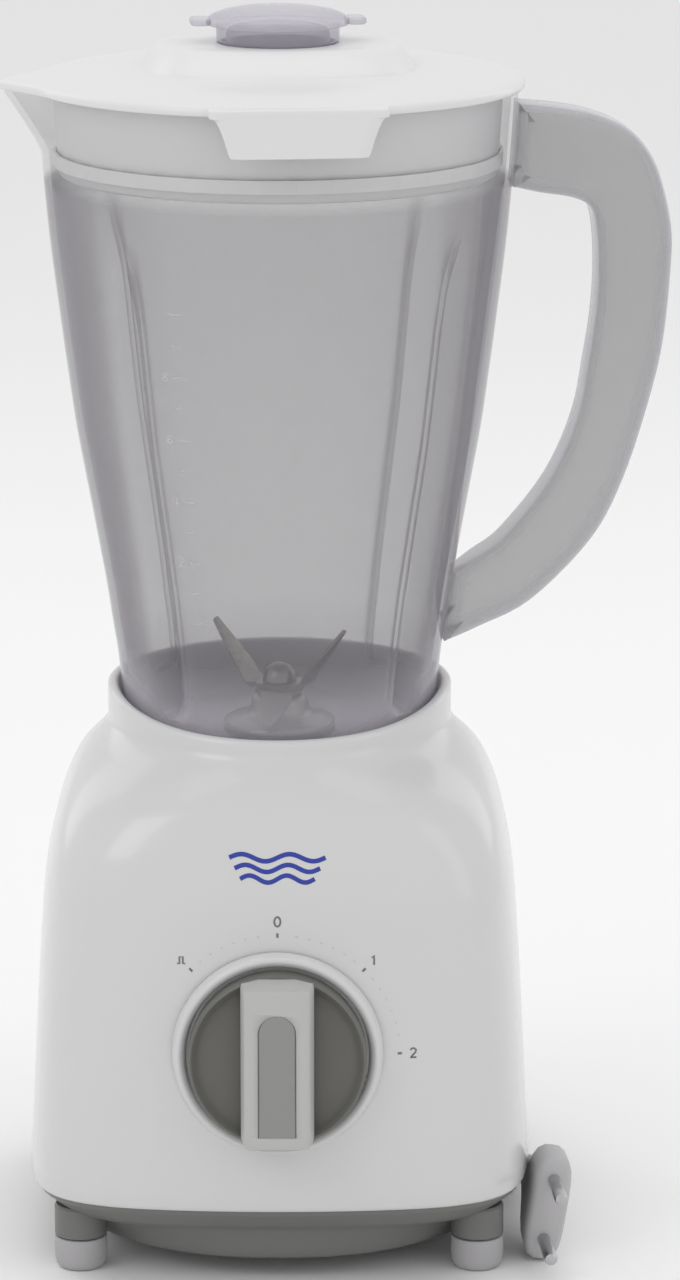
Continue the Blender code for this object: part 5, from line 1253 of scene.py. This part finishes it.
@dataclass
class Lid:
    """The white lid with its beak, island and front grip, and the clear measuring cap."""

    jug: Jug = field(default_factory=Jug)
    radius: float = 0.0736
    beak: float = 0.0098
    edge: float = 0.3548
    flange: float = 0.3518
    skirt_foot: float = 0.326
    hole: float = 0.0178
    island_top: float = 0.365

    def ring(self, radius: float, z: float, beak: float) -> list[Point]:
        """A ring of the lid, drawn out over the spout."""
        made = []
        for a in self.jug.angles():
            near = self.jug.apart(a, math.pi)
            made.append(polar(radius + beak * max(0.0, 1 - near / math.radians(17)) ** 1.35, a, z))
        return made

    def skirt(self, z: float) -> float:
        """The skirt's outer radius at a height."""
        return self.jug.radius(z) - self.jug.wall - 0.0024

    def shell(self) -> None:
        """The lid's top, rim and skirt."""
        e, b, r = self.edge, self.beak, self.radius
        foot = self.skirt(self.skirt_foot)
        top = self.skirt(self.flange)
        lip, reach = self.flange, self.hole + 0.012
        rows = (
            (reach, e + 0.0036, 0), (0.036, e + 0.0036, 0), (0.044, e + 0.0034, 0), (0.052, e + 0.0029, 0),
            (0.060, e + 0.0021, b * 0.2), (0.0665, e + 0.0012, b * 0.6), (r - 0.0030, e + 0.0004, b * 0.9),
            (r - 0.0012, e - 0.0001, b), (r - 0.0003, e - 0.0008, b), (r, e - 0.0016, b),
            (r - 0.0001, lip + 0.0004, b), (r - 0.0005, lip + 0.00005, b), (top + 0.0002, lip, 0),
            (top, lip - 0.0008, 0), (foot, self.skirt_foot + 0.0006, 0), (foot - 0.0006, self.skirt_foot, 0),
            (foot - 0.0016, self.skirt_foot, 0), (foot - 0.0022, self.skirt_foot + 0.0006, 0),
            (top - 0.0022, lip, 0), (top - 0.0040, lip + 0.0016, 0), (0.044, e + 0.0014, 0),
            (reach, e + 0.0016, 0),
        )
        rings = [self.ring(*row) for row in rows]
        made = loft("lid_shell", rings, LID_WHITE, closed=True, sharp=45)
        place(made, "lid", ["lid"], turn=(0, 0, JUG_TURN), slot="white_plastic")

    def island(self) -> None:
        """The raised oval that carries the measuring cap."""
        top = self.island_top
        stations = ((0.0414, 0.0372, 0.3576, 2.9), (0.0408, 0.0366, 0.3584, 2.9),
                    (0.0398, 0.0350, 0.3596, 2.85), (0.0386, 0.0322, 0.3612, 2.8),
                    (0.0374, 0.0292, 0.3630, 2.7), (0.0362, 0.0268, 0.3642, 2.65),
                    (0.0350, 0.0254, 0.36485, 2.6), (0.0335, 0.0244, top, 2.6))
        round_ones = ((0.0196, top), (0.0182, top - 0.0002), (self.hole, top - 0.0010), (self.hole, 0.3500),
                      (self.hole + 0.0018, 0.3500), (self.hole + 0.0018, 0.3600))
        stations += tuple((r, r, z, 2) for r, z in round_ones)
        stations += (0.0345, 0.0270, 0.3600, 2.7), (0.0385, 0.0340, 0.3566, 2.9)
        rings = [at_height(ring_outline(hx, hy, power, 128), z) for hx, hy, z, power in stations]
        made = loft("lid_island", rings, LID_WHITE, closed=True, sharp=50)
        place(made, "lid", turn=(0, 0, JUG_TURN), slot="white_plastic")

    def grip(self) -> None:
        """The grip that hangs from the lid's front edge."""
        rows = ((0.3405, 0.0186, 0.0752), (0.3408, 0.0196, 0.0749), (0.3416, 0.0202, 0.0748),
                (0.3450, 0.0212, 0.0747), (0.3480, 0.0222, 0.0746), (0.3510, 0.0236, 0.0745),
                (0.3526, 0.0247, 0.0744))
        front = 0.0772
        rings = []
        for z, half, back in rows:
            across = [-half + 2 * half * k / 24 for k in range(25)]
            bottom = 0.0006 if z < 0.3407 else 0
            outline = []
            for x in across:
                roll = 0.0012 * max(0.0, (abs(x) - half + 0.003) / 0.003) ** 2
                outline.append((x, -(front - roll - bottom)))
            outline += [(x, -back) for x in reversed(across)]
            rings.append(at_height(outline, z))
        apron = loft("lid_grip", rings, LID_WHITE, sharp=40)
        place(apron, "lid", turn=(0, 0, JUG_TURN), slot="white_plastic")
        side = [(0.0250, -0.0640), (0.0258, -0.0700), (0.0258, -0.0752), (0.0240, -front)]
        ledge = [(-x, y) for x, y in side] + side[::-1]
        shelf = plate("lid_ledge", ledge, 0.0029, LID_WHITE, 0.0008)
        place(shelf, "lid", (), (0, 0, 0.35330), (0, 0, JUG_TURN), "white_plastic")

    def cap(self) -> None:
        """The measuring cap: a clear cup hung by its disc, with two ears to turn it by."""
        r, seat = 0.0171, self.island_top + 0.0003
        profile = [(0, 0.3756), (0.0070, 0.3754), (0.0125, 0.3749), (0.0170, 0.3740), (0.0195, 0.3731),
                   (0.0210, 0.3720), (0.0214, 0.3710), (0.0212, 0.3702), (0.0205, 0.3700), (0.0188, 0.3700),
                   (0.0184, 0.3696), (0.0183, seat + 0.0003), (0.0180, seat), (r, seat), (r, 0.3504),
                   (r - 0.0004, 0.3500), (r - 0.0012, 0.3500), (r - 0.0016, 0.3504),
                   (r - 0.0016, 0.3675), (r - 0.0024, 0.3690), (r - 0.0045, 0.3697), (0, 0.3700)]
        made = turned("measuring_cup", profile, CAP_CLEAR, 96, closed=False, sharp=40)
        place(made, "cap", ["measuring_cap"], turn=(0, 0, JUG_TURN), slot="smoky_clear_plastic")
        for name, side in (("left", -1), ("right", 1)):
            outline = [(x + side * 0.0231, y) for x, y in ring_outline(0.0032, 0.0060, 3.4, 48)]
            ear = plate(f"cap_ear_{name}", outline, 0.0019, CAP_CLEAR, 0.0007)
            place(ear, "cap", (), (0, 0, 0.37115), (0, 0, JUG_TURN), "smoky_clear_plastic")

    def build(self) -> None:
        """Makes the lid and the cap."""
        self.shell()
        self.island()
        self.grip()
        self.cap()


@dataclass
class Inside:
    """Finishes for the CAD nodes that are shown as they are."""

    finishes: tuple[tuple[Finish, tuple[str, ...]], ...] = (
        (LAMINATION, ("stator_core", "armature_core")),
        (COPPER, ("field_coil_front", "field_coil_rear", "lower_winding", "upper_winding")),
        (BRASS, ("upper_bushing", "lower_bushing", "commutator", "brush_holder_front", "brush_holder_rear")),
        (CARBON, ("carbon_brush_front", "carbon_brush_rear")),
        (NYLON, ("rotary_switch", "cooling_fan", "drive_coupler", "driven_coupler")),
        (STEEL, ("motor_shaft", "blade_shaft", "knob_spindle")),
        (BLACK_RUBBER, ("splash_seal", "blade_gasket", "motor_damper_left", "motor_damper_right")),
        (LID_WHITE, ("lid_seal",)),
        (LIGHT_GREY, ("retaining_nut",)),
    )
    others: Finish = PLATED

    def build(self) -> None:
        """Gives each shown CAD node a finish."""
        by_name = {name: finish for finish, names in self.finishes for name in names}
        for name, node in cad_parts.items():
            if node.hide_render:
                continue
            finish = by_name.get(name, self.others)
            node.data.materials.clear()
            node.data.materials.append(finish.material())
            for polygon in node.data.polygons:
                polygon.material_index = 0
            log.info("%s gets %s", name, finish.name)


def main() -> None:
    """Builds the scene piece by piece."""
    logging.basicConfig(level=logging.INFO, format="%(name)s: %(message)s")
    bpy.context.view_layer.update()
    studio = Studio()
    studio.camera()
    Cord().build()
    studio.light()
    studio.floor()
    Base().build()
    Knob().build()
    Jug().build()
    Blades().build()
    Lid().build()
    Inside().build()


if __name__ == "__main__":
    main()
